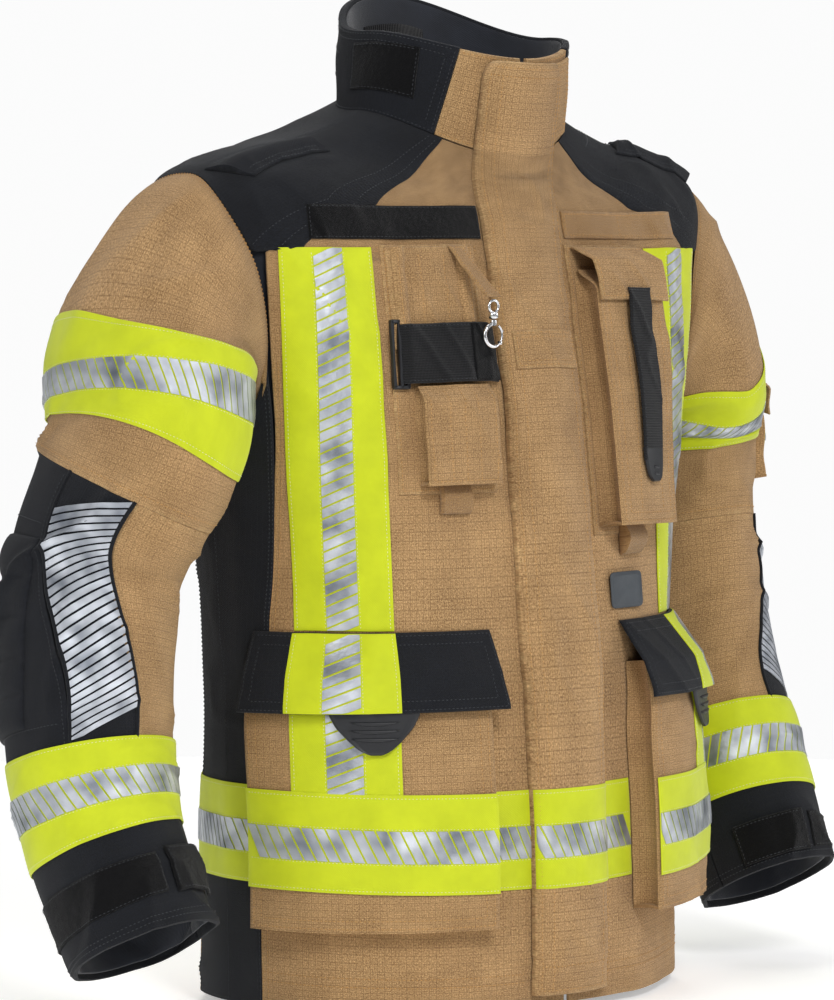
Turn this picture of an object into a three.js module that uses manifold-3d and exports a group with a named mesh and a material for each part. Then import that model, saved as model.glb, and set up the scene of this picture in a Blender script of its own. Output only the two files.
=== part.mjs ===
// Firefighter's turnout coat: fabric shell, collar, zip under a storm flap, pockets with flaps,
// hi-vis trim, sleeves, snap hook and hook-and-loop straps. Millimetres, +Z up, front towards -Y,
// the wearer's left towards +X. The origin is the middle of the neck opening at the collar seam.
import * as THREE from 'three';
import { mergeVertices } from 'three/addons/utils/BufferGeometryUtils.js';
import Module from 'manifold-3d';

const wasm = await Module();
wasm.setup();

// ---- driving dimensions -------------------------------------------------------------------
// Heights are measured from the hem while the coat is laid out; the group is lowered at the end.
const BODY_HALF_WIDTH = 199;      // hem to waist
const CHEST_OUT = 51;             // the arm openings stand this much further out than the hem
const CHEST_HALF_WIDTH = BODY_HALF_WIDTH + CHEST_OUT;
const NECK_HALF_WIDTH = 97;
const HEM_FRONT_DEPTH = 158;      // from the side line forward
const HEM_BACK_DEPTH = 130;
const NECK_SIDE_HEIGHT = 684;     // hem to collar seam at the side of the neck
const COLLAR_FRONT_HEIGHT = 75;
const COLLAR_BACK_HEIGHT = 76;
const SHELL = 2.6;                // shell fabric with its interlining
const LINER = 5;                  // quilted thermal liner
const LINER_GAP = 3.4;            // shell to liner
const TOUCH = 0.35;               // gap between parts that meet
const LAY = 1.5;                  // gap under a layer sewn on a curved surface
const TAPE = 1.0;                 // thickness of trim and hook-and-loop tape
const TRIM_WIDTH = 75;            // hi-vis trim
const SIDE_SEAM_FRONT = 257;      // girth from centre front to the black side panel
const FLAP_HALF_WIDTH = 38;       // storm flap
const FLAP_RISE = 17;             // storm flap over the zip
const FLAP_THICK = 2.2;
const ZIP_TEETH = 3.4;            // from the shell to the top of the teeth
const TRIM_CENTRE = 179.5;        // girth from centre front to the middle of the chest trim
const TRIM_INNER = TRIM_CENTRE - TRIM_WIDTH / 2;
const POCKET_INNER = 75;
const POCKET_OUTER = 254;
const POCKET_BOTTOM = 72;
const POCKET_TOP = 262;
const POCKET_DEPTH = 29;
const POCKET_MOUTH = 17;
const WALL = 2;                   // pocket fabric
const FLAP_OVERLAP = 10;          // pocket flap past each side of its bag
const FLAP_TOP = 294;
const FLAP_BOTTOM = 235;
const SECTION_RISE = 136;         // height of one section number at the hem trim
const HEM_TRIM = [0.98, 0.98 + TRIM_WIDTH / SECTION_RISE]; // section numbers of its edges
const CHEST_SEAM = 581;
const CUFF_RADIUS = 54;
const SNAP_RADIUS = 8.5;

// Body sections from hem to collar seam: heights at front, side and back, half width, depths
// forward and back of the side line, the side line's y and the squareness of the oval.
const NECK_FRONT = NECK_SIDE_HEIGHT - 34;
const NECK_BACK = NECK_SIDE_HEIGHT + 20;
const SHOULDER = NECK_SIDE_HEIGHT - 124; // middle of the arm openings
const BODY = [
  [6, 8, 4, BODY_HALF_WIDTH, HEM_FRONT_DEPTH, HEM_BACK_DEPTH, 0, 2.3],
  [100, 106, 104, BODY_HALF_WIDTH, HEM_FRONT_DEPTH - 2, HEM_BACK_DEPTH - 2, 0, 2.3],
  [240, 243, 242, BODY_HALF_WIDTH, HEM_FRONT_DEPTH - 10, HEM_BACK_DEPTH - 6, 0, 2.3],
  [370, 370, 370, BODY_HALF_WIDTH + 11, HEM_FRONT_DEPTH - 22, HEM_BACK_DEPTH - 6, 0, 2.3],
  [SHOULDER - 100, SHOULDER - 100, SHOULDER - 100, CHEST_HALF_WIDTH - 22, HEM_FRONT_DEPTH - 34, HEM_BACK_DEPTH - 4, 0, 2.4],
  [SHOULDER - 15, SHOULDER, SHOULDER, CHEST_HALF_WIDTH, HEM_FRONT_DEPTH - 50, HEM_BACK_DEPTH - 6, 0, 2.5],
  [SHOULDER + 42, SHOULDER + 72, SHOULDER + 66, CHEST_HALF_WIDTH, 92, 108, -4, 2.4],
  [SHOULDER + 72, SHOULDER + 104, SHOULDER + 116, CHEST_HALF_WIDTH - 100, 76, 90, -14, 2.2],
  [NECK_FRONT, NECK_SIDE_HEIGHT, NECK_BACK, NECK_HALF_WIDTH, 71, 76, -24, 2.0],
];
const NECK = BODY.length - 1;
const COLLAR_TOP = { half: NECK_HALF_WIDTH - 3, front: 74, back: 92, y: -32,
  zFront: NECK_FRONT + COLLAR_FRONT_HEIGHT, zSide: NECK_SIDE_HEIGHT + 61,
  zBack: NECK_BACK + COLLAR_BACK_HEIGHT };
const ORIGIN = [0, -24, NECK_SIDE_HEIGHT - 7];

// The arm opening is an oval in the body's angle and section number.
const ARMHOLE = { angle: 90, halfAngle: 30, section: 4.9, halfSection: 1.15 };
// Sleeve sections: how far out of the chest's side, y, how far under the shoulder, and the radii
// across and fore and aft.
const CUFF = [CUFF_RADIUS, CUFF_RADIUS + 4];
const SLEEVES = {
  right: [
    [-20, 4, 0, 100, 88], [24, 0, 55, 68, 92], [42, -12, 125, 62, 90], [72, 6, 220, 62, 72],
    [91, -6, 320, 60, 66], [98, -36, 410, 57, 61], [93, -78, 488, ...CUFF],
  ].map(([out, y, drop, ...radii]) => [-CHEST_HALF_WIDTH - out, y, SHOULDER - drop, ...radii]),
  left: [
    [-20, 4, 0, 100, 88], [17, 14, 55, 63, 90], [36, 36, 125, 58, 88], [41, 24, 220, 62, 72],
    [43, 0, 320, 60, 66], [44, -38, 410, 57, 61], [44, -80, 494, ...CUFF],
  ].map(([out, y, drop, ...radii]) => [CHEST_HALF_WIDTH + out, y, SHOULDER - drop, ...radii]),
};
// Lengthwise places on each sleeve, as shares of its centre line.
const SLEEVE_PLACES = {
  right: { band: [0.175, 0.32], elbow: 0.4, lower: [0.725, 0.845] },
  left: { band: [0.165, 0.345], elbow: 0.48, lower: [0.76, 0.878] },
};

// ---- colours ------------------------------------------------------------------------------
const FABRIC = { tan: 0xbe9862, black: 0x20242c, yellow: 0xd6e820, silver: 0xa5aab9, webbing: 0x141416,
  rubber: 0x1a1b1d, lining: 0x2a2d33, chrome: 0xd8dadc, grey: 0x3c4146 };

function material(name) {
  const shiny = name === 'chrome';
  return new THREE.MeshStandardMaterial({
    color: FABRIC[name], roughness: shiny ? 0.15 : 0.85, metalness: shiny ? 1 : 0,
  });
}

// ---- surfaces -----------------------------------------------------------------------------
const rad = THREE.MathUtils.degToRad;
const lerp = THREE.MathUtils.lerp;
const clamp = THREE.MathUtils.clamp;
const vec = (x, y, z) => new THREE.Vector3(x, y, z);

function spline(rows, at) {
  const last = rows.length - 1;
  const t = clamp(at, 0, last - 1e-9);
  const i = Math.floor(t);
  const f = t - i;
  const row = (k) => rows[clamp(k, 0, last)];
  const [a, b, c, d] = [row(i - 1), row(i), row(i + 1), row(i + 2)];
  return b.map((_, k) => 0.5 * (2 * b[k] + (c[k] - a[k]) * f
    + (2 * a[k] - 5 * b[k] + 4 * c[k] - d[k]) * f * f + (3 * b[k] - a[k] - 3 * c[k] + d[k]) * f ** 3));
}

const signedPower = (x, power) => Math.sign(x) * Math.abs(x) ** power;

// A point on the body. The angle is 0 at the front, 90 at the wearer's left and 180 at the back.
function bodyPoint(angle, section) {
  const [zFront, zSide, zBack, half, front, back, y, square] = spline(BODY, section);
  const s = Math.sin(rad(angle));
  const c = Math.cos(rad(angle));
  return vec(half * signedPower(s, 2 / square), y - (c > 0 ? front : back) * signedPower(c, 2 / square),
    zFront * Math.max(c, 0) ** 2 + zSide * s * s + zBack * Math.max(-c, 0) ** 2);
}

function offsetSurface(point, flip) {
  return (a, b, offset, da, db) => {
    const along = point(a + da, b).sub(point(a - da, b));
    const up = point(a, b + db).sub(point(a, b - db));
    const normal = along.cross(up).multiplyScalar(flip).normalize();
    return point(a, b).addScaledVector(normal, offset);
  };
}

const bodyOffset = offsetSurface(bodyPoint, 1);
function body(angle, section, offset) {
  return bodyOffset(angle, clamp(section, 0.02, NECK - 0.02), offset, 0.5, 0.02);
}

// The collar rises from the neck section to its rim.
function collar(angle, height, offset) {
  const s = Math.sin(rad(angle));
  const c = Math.cos(rad(angle));
  const top = vec(COLLAR_TOP.half * s, COLLAR_TOP.y - (c > 0 ? COLLAR_TOP.front : COLLAR_TOP.back) * c,
    COLLAR_TOP.zFront * Math.max(c, 0) ** 2 + COLLAR_TOP.zSide * s * s
    + COLLAR_TOP.zBack * Math.max(-c, 0) ** 2);
  return bodyPoint(angle, NECK).lerp(top, height).add(vec(s * offset, -c * offset, 0));
}

// The body below the collar seam and the collar above it, as one surface.
function front(angle, section, offset) {
  const share = clamp(section - NECK + 0.5, 0, 1);
  const low = section < NECK ? body(angle, section, offset) : collar(angle, section - NECK, offset);
  if (section >= NECK || share === 0) return low;
  const radial = bodyPoint(angle, section).add(
    vec(Math.sin(rad(angle)) * offset, -Math.cos(rad(angle)) * offset, 0));
  return low.lerp(radial, share * 2);
}

// Girth is the distance round the body from centre front, along one section.
const GIRTH_STEP = 2;
const girthTables = new Map();
function girthTable(section) {
  const key = Math.round(section * 50);
  if (!girthTables.has(key)) {
    const table = [0];
    for (let angle = GIRTH_STEP; angle <= 180; angle += GIRTH_STEP) {
      const step = bodyPoint(angle, key / 50).distanceTo(bodyPoint(angle - GIRTH_STEP, key / 50));
      table.push(table[table.length - 1] + step);
    }
    girthTables.set(key, table);
  }
  return girthTables.get(key);
}

function angleAt(girth, section) {
  const table = girthTable(clamp(section, 0, NECK));
  const size = Math.abs(girth);
  const i = clamp(table.findIndex((g) => g > size), 1, table.length - 1);
  return Math.sign(girth) * GIRTH_STEP * (i - 1 + (size - table[i - 1]) / (table[i] - table[i - 1]));
}

const byGirth = (girth, section) => [angleAt(girth, section), section];

// The place at a girth and a height above the hem.
function byHeight(girth, height) {
  let low = 0;
  let high = NECK;
  for (let k = 0; k < 18; k += 1) {
    const middle = (low + high) / 2;
    if (bodyPoint(angleAt(girth, middle), middle).z < height) low = middle;
    else high = middle;
  }
  return byGirth(girth, (low + high) / 2);
}

function armholeEdge(side, turn) {
  return [side * (ARMHOLE.angle - ARMHOLE.halfAngle * Math.cos(rad(turn))),
    ARMHOLE.section + ARMHOLE.halfSection * Math.sin(rad(turn))];
}

// A sleeve is a tube along its centre line, spread at the top to meet the arm opening.
// The turn is 0 at the front, 90 outside, 180 at the back and 270 inside.
const HEAD = 0.2;
const UNDERARM = 0.16;            // the underarm follows the opening for this much longer
function sleevePoint(sideName, turn, place) {
  const side = sideName === 'left' ? 1 : -1;
  const rows = SLEEVES[sideName];
  const at = place * (rows.length - 1);
  const [x, y, z, across, foreAft] = spline(rows, at);
  const ahead = spline(rows, Math.min(at + 0.02, rows.length - 1));
  const behind = spline(rows, Math.max(at - 0.02, 0));
  const along = vec(ahead[0] - behind[0], ahead[1] - behind[1], ahead[2] - behind[2]).normalize();
  const forward = vec(0, -1, 0);
  forward.addScaledVector(along, -along.dot(forward)).normalize();
  const outward = forward.clone().cross(along);
  if (outward.dot(vec(side, 0, 0.6)) < 0) outward.negate();
  const tube = vec(x, y, z).addScaledVector(forward, Math.cos(rad(turn)) * foreAft)
    .addScaledVector(outward, Math.sin(rad(turn)) * across);
  const reach = HEAD + UNDERARM * Math.max(0, -Math.sin(rad(turn)));
  const share = clamp(1 - place / reach, 0, 1);
  return tube.lerp(bodyPoint(...armholeEdge(side, turn)), share * share * (3 - 2 * share));
}

function sleeveSurface(sideName) {
  const offset = offsetSurface((turn, place) => sleevePoint(sideName, turn, clamp(place, 0, 1)),
    sideName === 'left' ? -1 : 1);
  return (turn, place, out) => offset(turn, place, out, 1, 0.005);
}

// ---- solids -------------------------------------------------------------------------------
function volumeOf(geometry) {
  const p = geometry.attributes.position;
  const corner = (k) => vec().fromBufferAttribute(p, geometry.index.getX(k));
  let total = 0;
  for (let k = 0; k < geometry.index.count; k += 3) {
    total += corner(k).dot(corner(k + 1).cross(corner(k + 2)));
  }
  return total / 6;
}

function closed(geometry) {
  geometry.deleteAttribute('normal');
  geometry.deleteAttribute('uv');
  const merged = mergeVertices(geometry, 1e-3);
  const index = Array.from(merged.index.array);
  const faces = [];
  for (let k = 0; k < index.length; k += 3) {
    const [a, b, c] = index.slice(k, k + 3);
    if (a !== b && b !== c && c !== a) faces.push(a, b, c);
  }
  merged.setIndex(faces);
  if (volumeOf(merged) < 0) {
    for (let k = 0; k < faces.length; k += 3) [faces[k], faces[k + 1]] = [faces[k + 1], faces[k]];
    merged.setIndex(faces);
  }
  return merged;
}

function bend(geometry, map) {
  const p = geometry.attributes.position;
  for (let k = 0; k < p.count; k += 1) {
    const q = map(p.getX(k), p.getY(k), p.getZ(k));
    p.setXYZ(k, q.x, q.y, q.z);
  }
  return closed(geometry);
}

const valueAt = (layer, u, v) => (typeof layer === 'function' ? layer(u, v) : layer);

// A sheet of cloth: place(u, v) gives the surface's two numbers for shares across and up.
function sheet(surface, place, inner, outer, across, up) {
  return bend(new THREE.BoxGeometry(1, 1, 1, across, up, 1), (x, y, z) => {
    const u = x + 0.5;
    const v = y + 0.5;
    return surface(...place(u, v), valueAt(z > 0 ? outer : inner, u, v));
  });
}

// A closed band round a sleeve or the whole body.
function band(surface, from, to, inner, outer, around, along) {
  const profile = [];
  for (let k = 0; k <= along; k += 1) profile.push(new THREE.Vector2(2, k / along));
  for (let k = along; k >= 0; k -= 1) profile.push(new THREE.Vector2(1, k / along));
  profile.push(profile[0].clone());
  return bend(new THREE.LatheGeometry(profile, around), (x, y, z) => {
    const turn = THREE.MathUtils.radToDeg(Math.atan2(x, z));
    return surface(turn, lerp(valueAt(from, turn), valueAt(to, turn), y), Math.hypot(x,
      z) > 1.5 ? outer : inner);
  });
}

function solid(geometry) {
  return new wasm.Manifold(new wasm.Mesh({
    numProp: 3,
    vertProperties: new Float32Array(geometry.attributes.position.array),
    triVerts: new Uint32Array(geometry.index.array),
  }));
}

function fromSolid(manifold) {
  const mesh = manifold.getMesh();
  const geometry = new THREE.BufferGeometry();
  geometry.setAttribute('position', new THREE.BufferAttribute(new Float32Array(mesh.vertProperties), 3));
  geometry.setIndex(Array.from(mesh.triVerts));
  return geometry;
}

const cut = (geometry, ...tools) => fromSolid(
  tools.reduce((left, tool) => left.subtract(solid(tool)), solid(geometry)));

const joined = (...geometries) => fromSolid(
  geometries.slice(1).reduce((left, piece) => left.add(solid(piece)), solid(geometries[0])));

// Places between two edges, or inside four edges that share corners.
const between = (left, right) => (u, v) => {
  const [a, b] = left(v);
  const [c, d] = right(v);
  return [lerp(a, c, u), lerp(b, d, u)];
};

function inside(bottom, top, left, right) {
  const mix = (u, v, k) => lerp(bottom(u)[k], top(u)[k], v) + lerp(left(v)[k], right(v)[k], u)
    - lerp(lerp(bottom(0)[k], bottom(1)[k], u), lerp(top(0)[k], top(1)[k], u), v);
  return (u, v) => [mix(u, v, 0), mix(u, v, 1)];
}

const edge = (points) => (t) => {
  const at = clamp(t, 0, 1) * (points.length - 1);
  const i = Math.min(Math.floor(at), points.length - 2);
  return points[i].map((value, k) => lerp(value, points[i + 1][k], at - i));
};

const girthBox = (g0, g1, z0, z1) => (u, v) => byHeight(lerp(g0, g1, u), lerp(z0, z1, v));
const sectionBox = (g0, g1, s0, s1) => (u, v) => byGirth(lerp(g0, g1, u), lerp(s0, s1, v));
const angleBox = (a0, a1, b0, b1) => (u, v) => [lerp(a0, a1, u), lerp(b0, b1, v)];

// ---- the coat -----------------------------------------------------------------------------
const coat = new THREE.Group();
coat.position.set(-ORIGIN[0], -ORIGIN[1], -ORIGIN[2]);

function add(name, geometry, colour) {
  geometry.computeVertexNormals();
  const mesh = new THREE.Mesh(geometry, material(colour));
  mesh.name = name;
  coat.add(mesh);
}

const SIDES = [['right', -1], ['left', 1]];
const GAP_ANGLE = 0.4;           // half a panel seam, in degrees

// Edges of the body panels, as angles on the wearer's left; the right side mirrors them.
const sideSeam = (section) => Math.min(angleAt(SIDE_SEAM_FRONT, section), 84)
  - 14 * THREE.MathUtils.smoothstep(section, 1, 4);
const BACK_SEAM = 115;
const armholeFront = (section) => {
  const s = (section - ARMHOLE.section) / ARMHOLE.halfSection;
  return Math.abs(s) < 1 ? ARMHOLE.angle - ARMHOLE.halfAngle * Math.sqrt(1 - s * s) : ARMHOLE.angle;
};
const armholeBack = (section) => 2 * ARMHOLE.angle - armholeFront(section);
const armholeBottom = (angle) => {
  const s = (angle - ARMHOLE.angle) / ARMHOLE.halfAngle;
  return ARMHOLE.section - ARMHOLE.halfSection * Math.sqrt(Math.max(0, 1 - s * s));
};
const UNDERARM_GAP = 0.15;        // in section numbers
const YOKE_BOTTOM = 5.3;
const yokeFront = edge([[46, 5.36], [37, 5.7], [28, 6.05], [29, 6.7], [34, 7.35], [38, NECK]]);

function frontEdge(section) {
  if (section <= YOKE_BOTTOM) return Math.min(sideSeam(section), armholeFront(section));
  let low = 0;
  let high = 1;
  for (let k = 0; k < 16; k += 1) {
    const middle = (low + high) / 2;
    if (yokeFront(middle)[1] < section) low = middle;
    else high = middle;
  }
  const corner = lerp(Math.min(sideSeam(YOKE_BOTTOM), armholeFront(YOKE_BOTTOM)), yokeFront(0)[0],
    clamp((section - YOKE_BOTTOM) / (yokeFront(0)[1] - YOKE_BOTTOM), 0, 1));
  return section < yokeFront(0)[1] ? corner : yokeFront(low)[0];
}

const FRONT_ROWS = [0.03, 1, 2, 3, 3.7, 4, 4.3, 4.9, YOKE_BOTTOM, 5.36, 5.7, 6.05, 6.7, 7.35, 7.97];

for (const [name, side] of SIDES) {
  const rows = edge(FRONT_ROWS.map((section) => [section]));
  add(`front_${name}`, sheet(body, (u, v) => {
    const section = rows(v)[0];
    return [side * lerp(angleAt(1.5, section), frontEdge(section) - GAP_ANGLE, u), section];
  }, -SHELL, 0, 8, FRONT_ROWS.length - 1), 'tan');

  const seamTop = 3.98;
  add(`side_${name}`, sheet(body, inside(
    (t) => [side * lerp(sideSeam(0) + GAP_ANGLE, BACK_SEAM - GAP_ANGLE, t), 0.03],
    (t) => {
      const angle = lerp(sideSeam(seamTop) + GAP_ANGLE, BACK_SEAM - GAP_ANGLE, t);
      return [side * angle, armholeBottom(angle) - UNDERARM_GAP];
    },
    (t) => [side * (sideSeam(lerp(0, seamTop, t)) + GAP_ANGLE), lerp(0.03,
      armholeBottom(sideSeam(seamTop)) - UNDERARM_GAP, t)],
    (t) => [side * (BACK_SEAM - GAP_ANGLE), lerp(0.03, armholeBottom(BACK_SEAM) - UNDERARM_GAP, t)],
  ), -SHELL, 0, 6, 6), 'black');
}

const BACK_ROWS = [0.03, 1, 2, 3, 4.26, 4.55, 4.9, YOKE_BOTTOM - 0.02];
const backEdge = (section) => Math.max(BACK_SEAM,
  section > 4.2 ? armholeBack(section) + 1 : 0) + GAP_ANGLE;
add('back_panel', sheet(body, (u, v) => {
  const section = edge(BACK_ROWS.map((row) => [row]))(v)[0];
  return [lerp(backEdge(section), 360 - backEdge(section), u), section];
}, -SHELL, 0, 12, BACK_ROWS.length - 1), 'tan');

// The yoke runs from one front edge over the shoulders and round the back to the other.
const yokeLowerEdge = [];
yokeLowerEdge.push([46, 5.38]);
for (const turn of [18, 36, 54, 72, 90, 108, 126, 144, 162]) {
  const [angle, section] = armholeEdge(1, turn);
  yokeLowerEdge.push([angle, section + 0.05]);
}
yokeLowerEdge.push([135, YOKE_BOTTOM + 0.04], [157, YOKE_BOTTOM + 0.04], [180, YOKE_BOTTOM + 0.04]);
const yokeEdge = yokeLowerEdge.concat(
  yokeLowerEdge.slice(0, -1).reverse().map(([angle, section]) => [360 - angle, section]));
const yokeStart = yokeFront(1)[0];
add('shoulder_yoke', sheet(body, inside(
  edge(yokeEdge),
  (t) => [lerp(yokeStart, 360 - yokeStart, t), NECK - 0.03],
  (t) => [yokeFront(t)[0] + GAP_ANGLE, lerp(yokeFront(t)[1], Math.min(yokeFront(t)[1], NECK - 0.03), t)],
  (t) => [360 - yokeFront(t)[0] - GAP_ANGLE, Math.min(yokeFront(t)[1], NECK - 0.03)],
), -SHELL, 0, yokeEdge.length - 1, 7), 'black');

// Quilted liner: one layer inside the shell, open down the front and at the arms.
const PLUG = 1.06;                // the liner's arm openings are this much wider than the shell's
const plug = (side) => bend(new THREE.CylinderGeometry(1, 1, 1, 24, 1), (x, y, z) => body(
  side * (ARMHOLE.angle + PLUG * ARMHOLE.halfAngle * z), ARMHOLE.section + PLUG * ARMHOLE.halfSection * x, y * 60));
add('thermal_liner', cut(
  sheet(body, angleBox(2, 358, 0.25, NECK - 0.1), -SHELL - LINER_GAP - LINER, -SHELL - LINER_GAP, 26, 10),
  plug(1), plug(-1)), 'lining');

// Collar: a dark outer shell and two tan front ends.
const COLLAR = 5;
const COLLAR_BLACK = [43, 318];   // where the dark shell starts and ends, in degrees
add('collar_shell', sheet(collar, (u, v) => [lerp(COLLAR_BLACK[0], COLLAR_BLACK[1] + 8 * v, u),
  lerp(0.03, 1, v)],
  -COLLAR, 0, 22, 3), 'black');
const collarEnd = (start, end) => sheet(collar,
  (u, v) => [lerp(valueAt(start, v), end, u), lerp(0.03, 0.97, v)], -COLLAR, 0, 4, 3);
add('collar_front_left', collarEnd(2, COLLAR_BLACK[0] - 0.6), 'tan');
add('collar_front_right', collarEnd((v) => COLLAR_BLACK[1] + 8 * v + 0.6, 358), 'tan');
add('hanger_loop', sheet(collar, angleBox(160, 200, 0.52, 0.68),
  (u) => -COLLAR - 2.6 - 9 * Math.sin(Math.PI * u), (u) => -COLLAR - 1 - 9 * Math.sin(Math.PI * u), 6,
    1), 'webbing');

// ---- front closure ------------------------------------------------------------------------
const ZIP_TOP = 7.75;
add('zip_track', sheet(body, sectionBox(-15, 15, 0.15, ZIP_TOP), LAY,
  (u) => (Math.abs(u - 0.5) < 0.15 ? ZIP_TEETH : LAY + 0.7), 8, 14), 'webbing');

// A flat piece on the coat: an outline in the tangent plane at a girth and a height.
function flatPiece(outline, thick, girth, height, base) {
  const geometry = new THREE.ExtrudeGeometry(outline, { depth: thick, bevelEnabled: false,
    curveSegments: 4 });
  const place = byHeight(girth, height);
  const centre = body(...place, base);
  const out = body(...place, base + 1).sub(centre);
  const across = vec(-out.y, out.x, 0).normalize();
  const up = out.clone().cross(across);
  return bend(geometry, (x, y, z) => centre.clone().addScaledVector(across, x)
    .addScaledVector(up, y).addScaledVector(out, z));
}

// The slider's body and its pull hang in front of the teeth.
const SLIDER_HEIGHT = 596;
const SLIDER_CLEAR = 2.2;
function rounded(width, height, drop) {
  const outline = new THREE.Shape();
  outline.absarc(0, height / 2 - width / 2 - drop, width / 2, 0, Math.PI);
  outline.absarc(0, -height / 2 + width / 2 - drop, width / 2, Math.PI, 2 * Math.PI);
  return outline;
}
add('zip_slider', joined(
  flatPiece(rounded(12, 17, 0), 3.6, 0, SLIDER_HEIGHT, ZIP_TEETH + SLIDER_CLEAR),
  flatPiece(rounded(7, 34, 12), 1.6, 0, SLIDER_HEIGHT, ZIP_TEETH + SLIDER_CLEAR + 3.4),
), 'chrome');

// Storm flap: an arch over the zip, from near the hem to the top of the collar.
const FLAP_ENDS = [0.18, NECK + 0.93];
const flapOuter = (u) => FLAP_THICK + 1.1 + (FLAP_RISE - FLAP_THICK) * Math.sin(Math.PI * u) ** 0.55;
const flapPlace = (g0, g1, s0, s1) => (u, v) => {
  const section = lerp(s0, s1, v);
  return [angleAt(lerp(g0, g1, u), Math.min(section, NECK)), section];
};
const acrossFlap = (girth) => (girth + FLAP_HALF_WIDTH) / (2 * FLAP_HALF_WIDTH);
add('storm_flap', sheet(front, flapPlace(-FLAP_HALF_WIDTH, FLAP_HALF_WIDTH, ...FLAP_ENDS),
  (u) => flapOuter(u) - FLAP_THICK, flapOuter, 10, 22), 'tan');
const KEEPER_HALF = 30;
const onFlap = (half, lift) => (u) => flapOuter(acrossFlap(lerp(-half, half, u))) + lift;
add('flap_keeper', sheet(front, (u, v) => flapPlace(-KEEPER_HALF, KEEPER_HALF, 4.29, 4.62)(u, v),
  onFlap(KEEPER_HALF, TOUCH), onFlap(KEEPER_HALF, TOUCH + 1.4), 8, 1), 'tan');

// ---- pockets at the hem -------------------------------------------------------------------
const TAB_THICK = 2.2;
const POCKET_FULL = 220;          // height below which the bellows are at full depth
const pocketDepth = (height) => lerp(POCKET_DEPTH, POCKET_MOUTH,
  THREE.MathUtils.smoothstep(height, POCKET_FULL, POCKET_TOP + 4));
const flapDepth = (height) => {
  const lift = clamp((FLAP_TOP - height) / (FLAP_TOP - POCKET_TOP), 0, 1);
  const low = POCKET_DEPTH + LAY + TAB_THICK + 5;
  return lerp(0, POCKET_MOUTH + 4.4, lift) + (low - POCKET_MOUTH - 4.4)
    * THREE.MathUtils.smoothstep(POCKET_TOP - height, -4, POCKET_TOP - FLAP_BOTTOM);
};

for (const [name, side] of SIDES) {
  const width = POCKET_OUTER - POCKET_INNER;
  const height = POCKET_TOP - POCKET_BOTTOM;
  const bag = sheet(body, girthBox(side * POCKET_INNER, side * POCKET_OUTER, POCKET_BOTTOM, POCKET_TOP),
    LAY, (u, v) => pocketDepth(POCKET_BOTTOM + v * height), 10, 5);
  const cavity = sheet(body, girthBox(side * (POCKET_INNER + WALL), side * (POCKET_OUTER - WALL),
    POCKET_BOTTOM + WALL, POCKET_TOP + 20), LAY + WALL,
  (u, v) => pocketDepth(POCKET_BOTTOM + WALL + v * (height + 18)) - WALL, 10, 5);
  add(`hem_pocket_${name}`, cut(bag, cavity), 'tan');

  const flapIn = POCKET_INNER - FLAP_OVERLAP;
  const flapHeight = FLAP_TOP - FLAP_BOTTOM;
  add(`pocket_flap_${name}`, sheet(body, girthBox(side * flapIn, side * (POCKET_OUTER - 4),
    FLAP_BOTTOM, FLAP_TOP),
    (u, v) => LAY + flapDepth(FLAP_BOTTOM + v * flapHeight),
    (u, v) => LAY + FLAP_THICK + flapDepth(FLAP_BOTTOM + v * flapHeight), 10, 4), 'black');

  // Rubber pull tab: broad under the flap's lower edge and narrow at its tip.
  const tabCentre = TRIM_INNER + 17;
  const tabHalf = edge([[8], [15], [24], [29]]);
  add(`pull_tab_${name}`, sheet(body, (u, v) => byHeight(
    side * (tabCentre + (2 * u - 1) * tabHalf(v)[0]), lerp(FLAP_BOTTOM - 31, FLAP_BOTTOM + 3, v)),
  POCKET_DEPTH + TAPE + 2 * LAY, POCKET_DEPTH + TAPE + 2 * LAY + TAB_THICK, 4, 3), 'rubber');

  // Hi-vis trim of this side: the chest strip, and the strips on the pocket.
  const strip = (place, base, nu, nv) => sheet(body, place,
    (u, v) => valueAt(base, u, v) + LAY, (u, v) => valueAt(base, u, v) + LAY + TAPE, nu, nv);
  add(`chest_trim_${name}`,
    strip(girthBox(side * TRIM_INNER, side * (TRIM_INNER + TRIM_WIDTH), FLAP_TOP + 2, CHEST_SEAM - 1),
      0, 8, 9), 'yellow');
  const hemTop = 172;
  add(`pocket_trim_${name}`, joined(
    strip(girthBox(side * TRIM_INNER, side * (TRIM_INNER + TRIM_WIDTH), hemTop, FLAP_BOTTOM + 4),
      POCKET_DEPTH, 4, 3),
    strip(sectionBox(side * (POCKET_INNER + 1), side * (POCKET_OUTER - 1), ...HEM_TRIM), POCKET_DEPTH,
      10, 2),
  ), 'yellow');
}

// Hem trim round the sides and back, and two upright strips up the back.
const TRIM_START = POCKET_OUTER + 2;
const backStrip = (side) => sheet(body, (u, v) => [180 + side * lerp(19, 41, u),
  lerp(HEM_TRIM[1] - 0.04, YOKE_BOTTOM - 0.08, v)],
  LAY + 0.9, LAY + 0.9 + TAPE, 3, 6);
add('trim_back', joined(
  sheet(body, (u, v) => {
    const section = lerp(...HEM_TRIM, v);
    const start = angleAt(TRIM_START, section);
    return [lerp(start, 360 - start, u), section];
  }, LAY, LAY + TAPE, 20, 2),
  backStrip(1), backStrip(-1),
), 'yellow');

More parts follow.
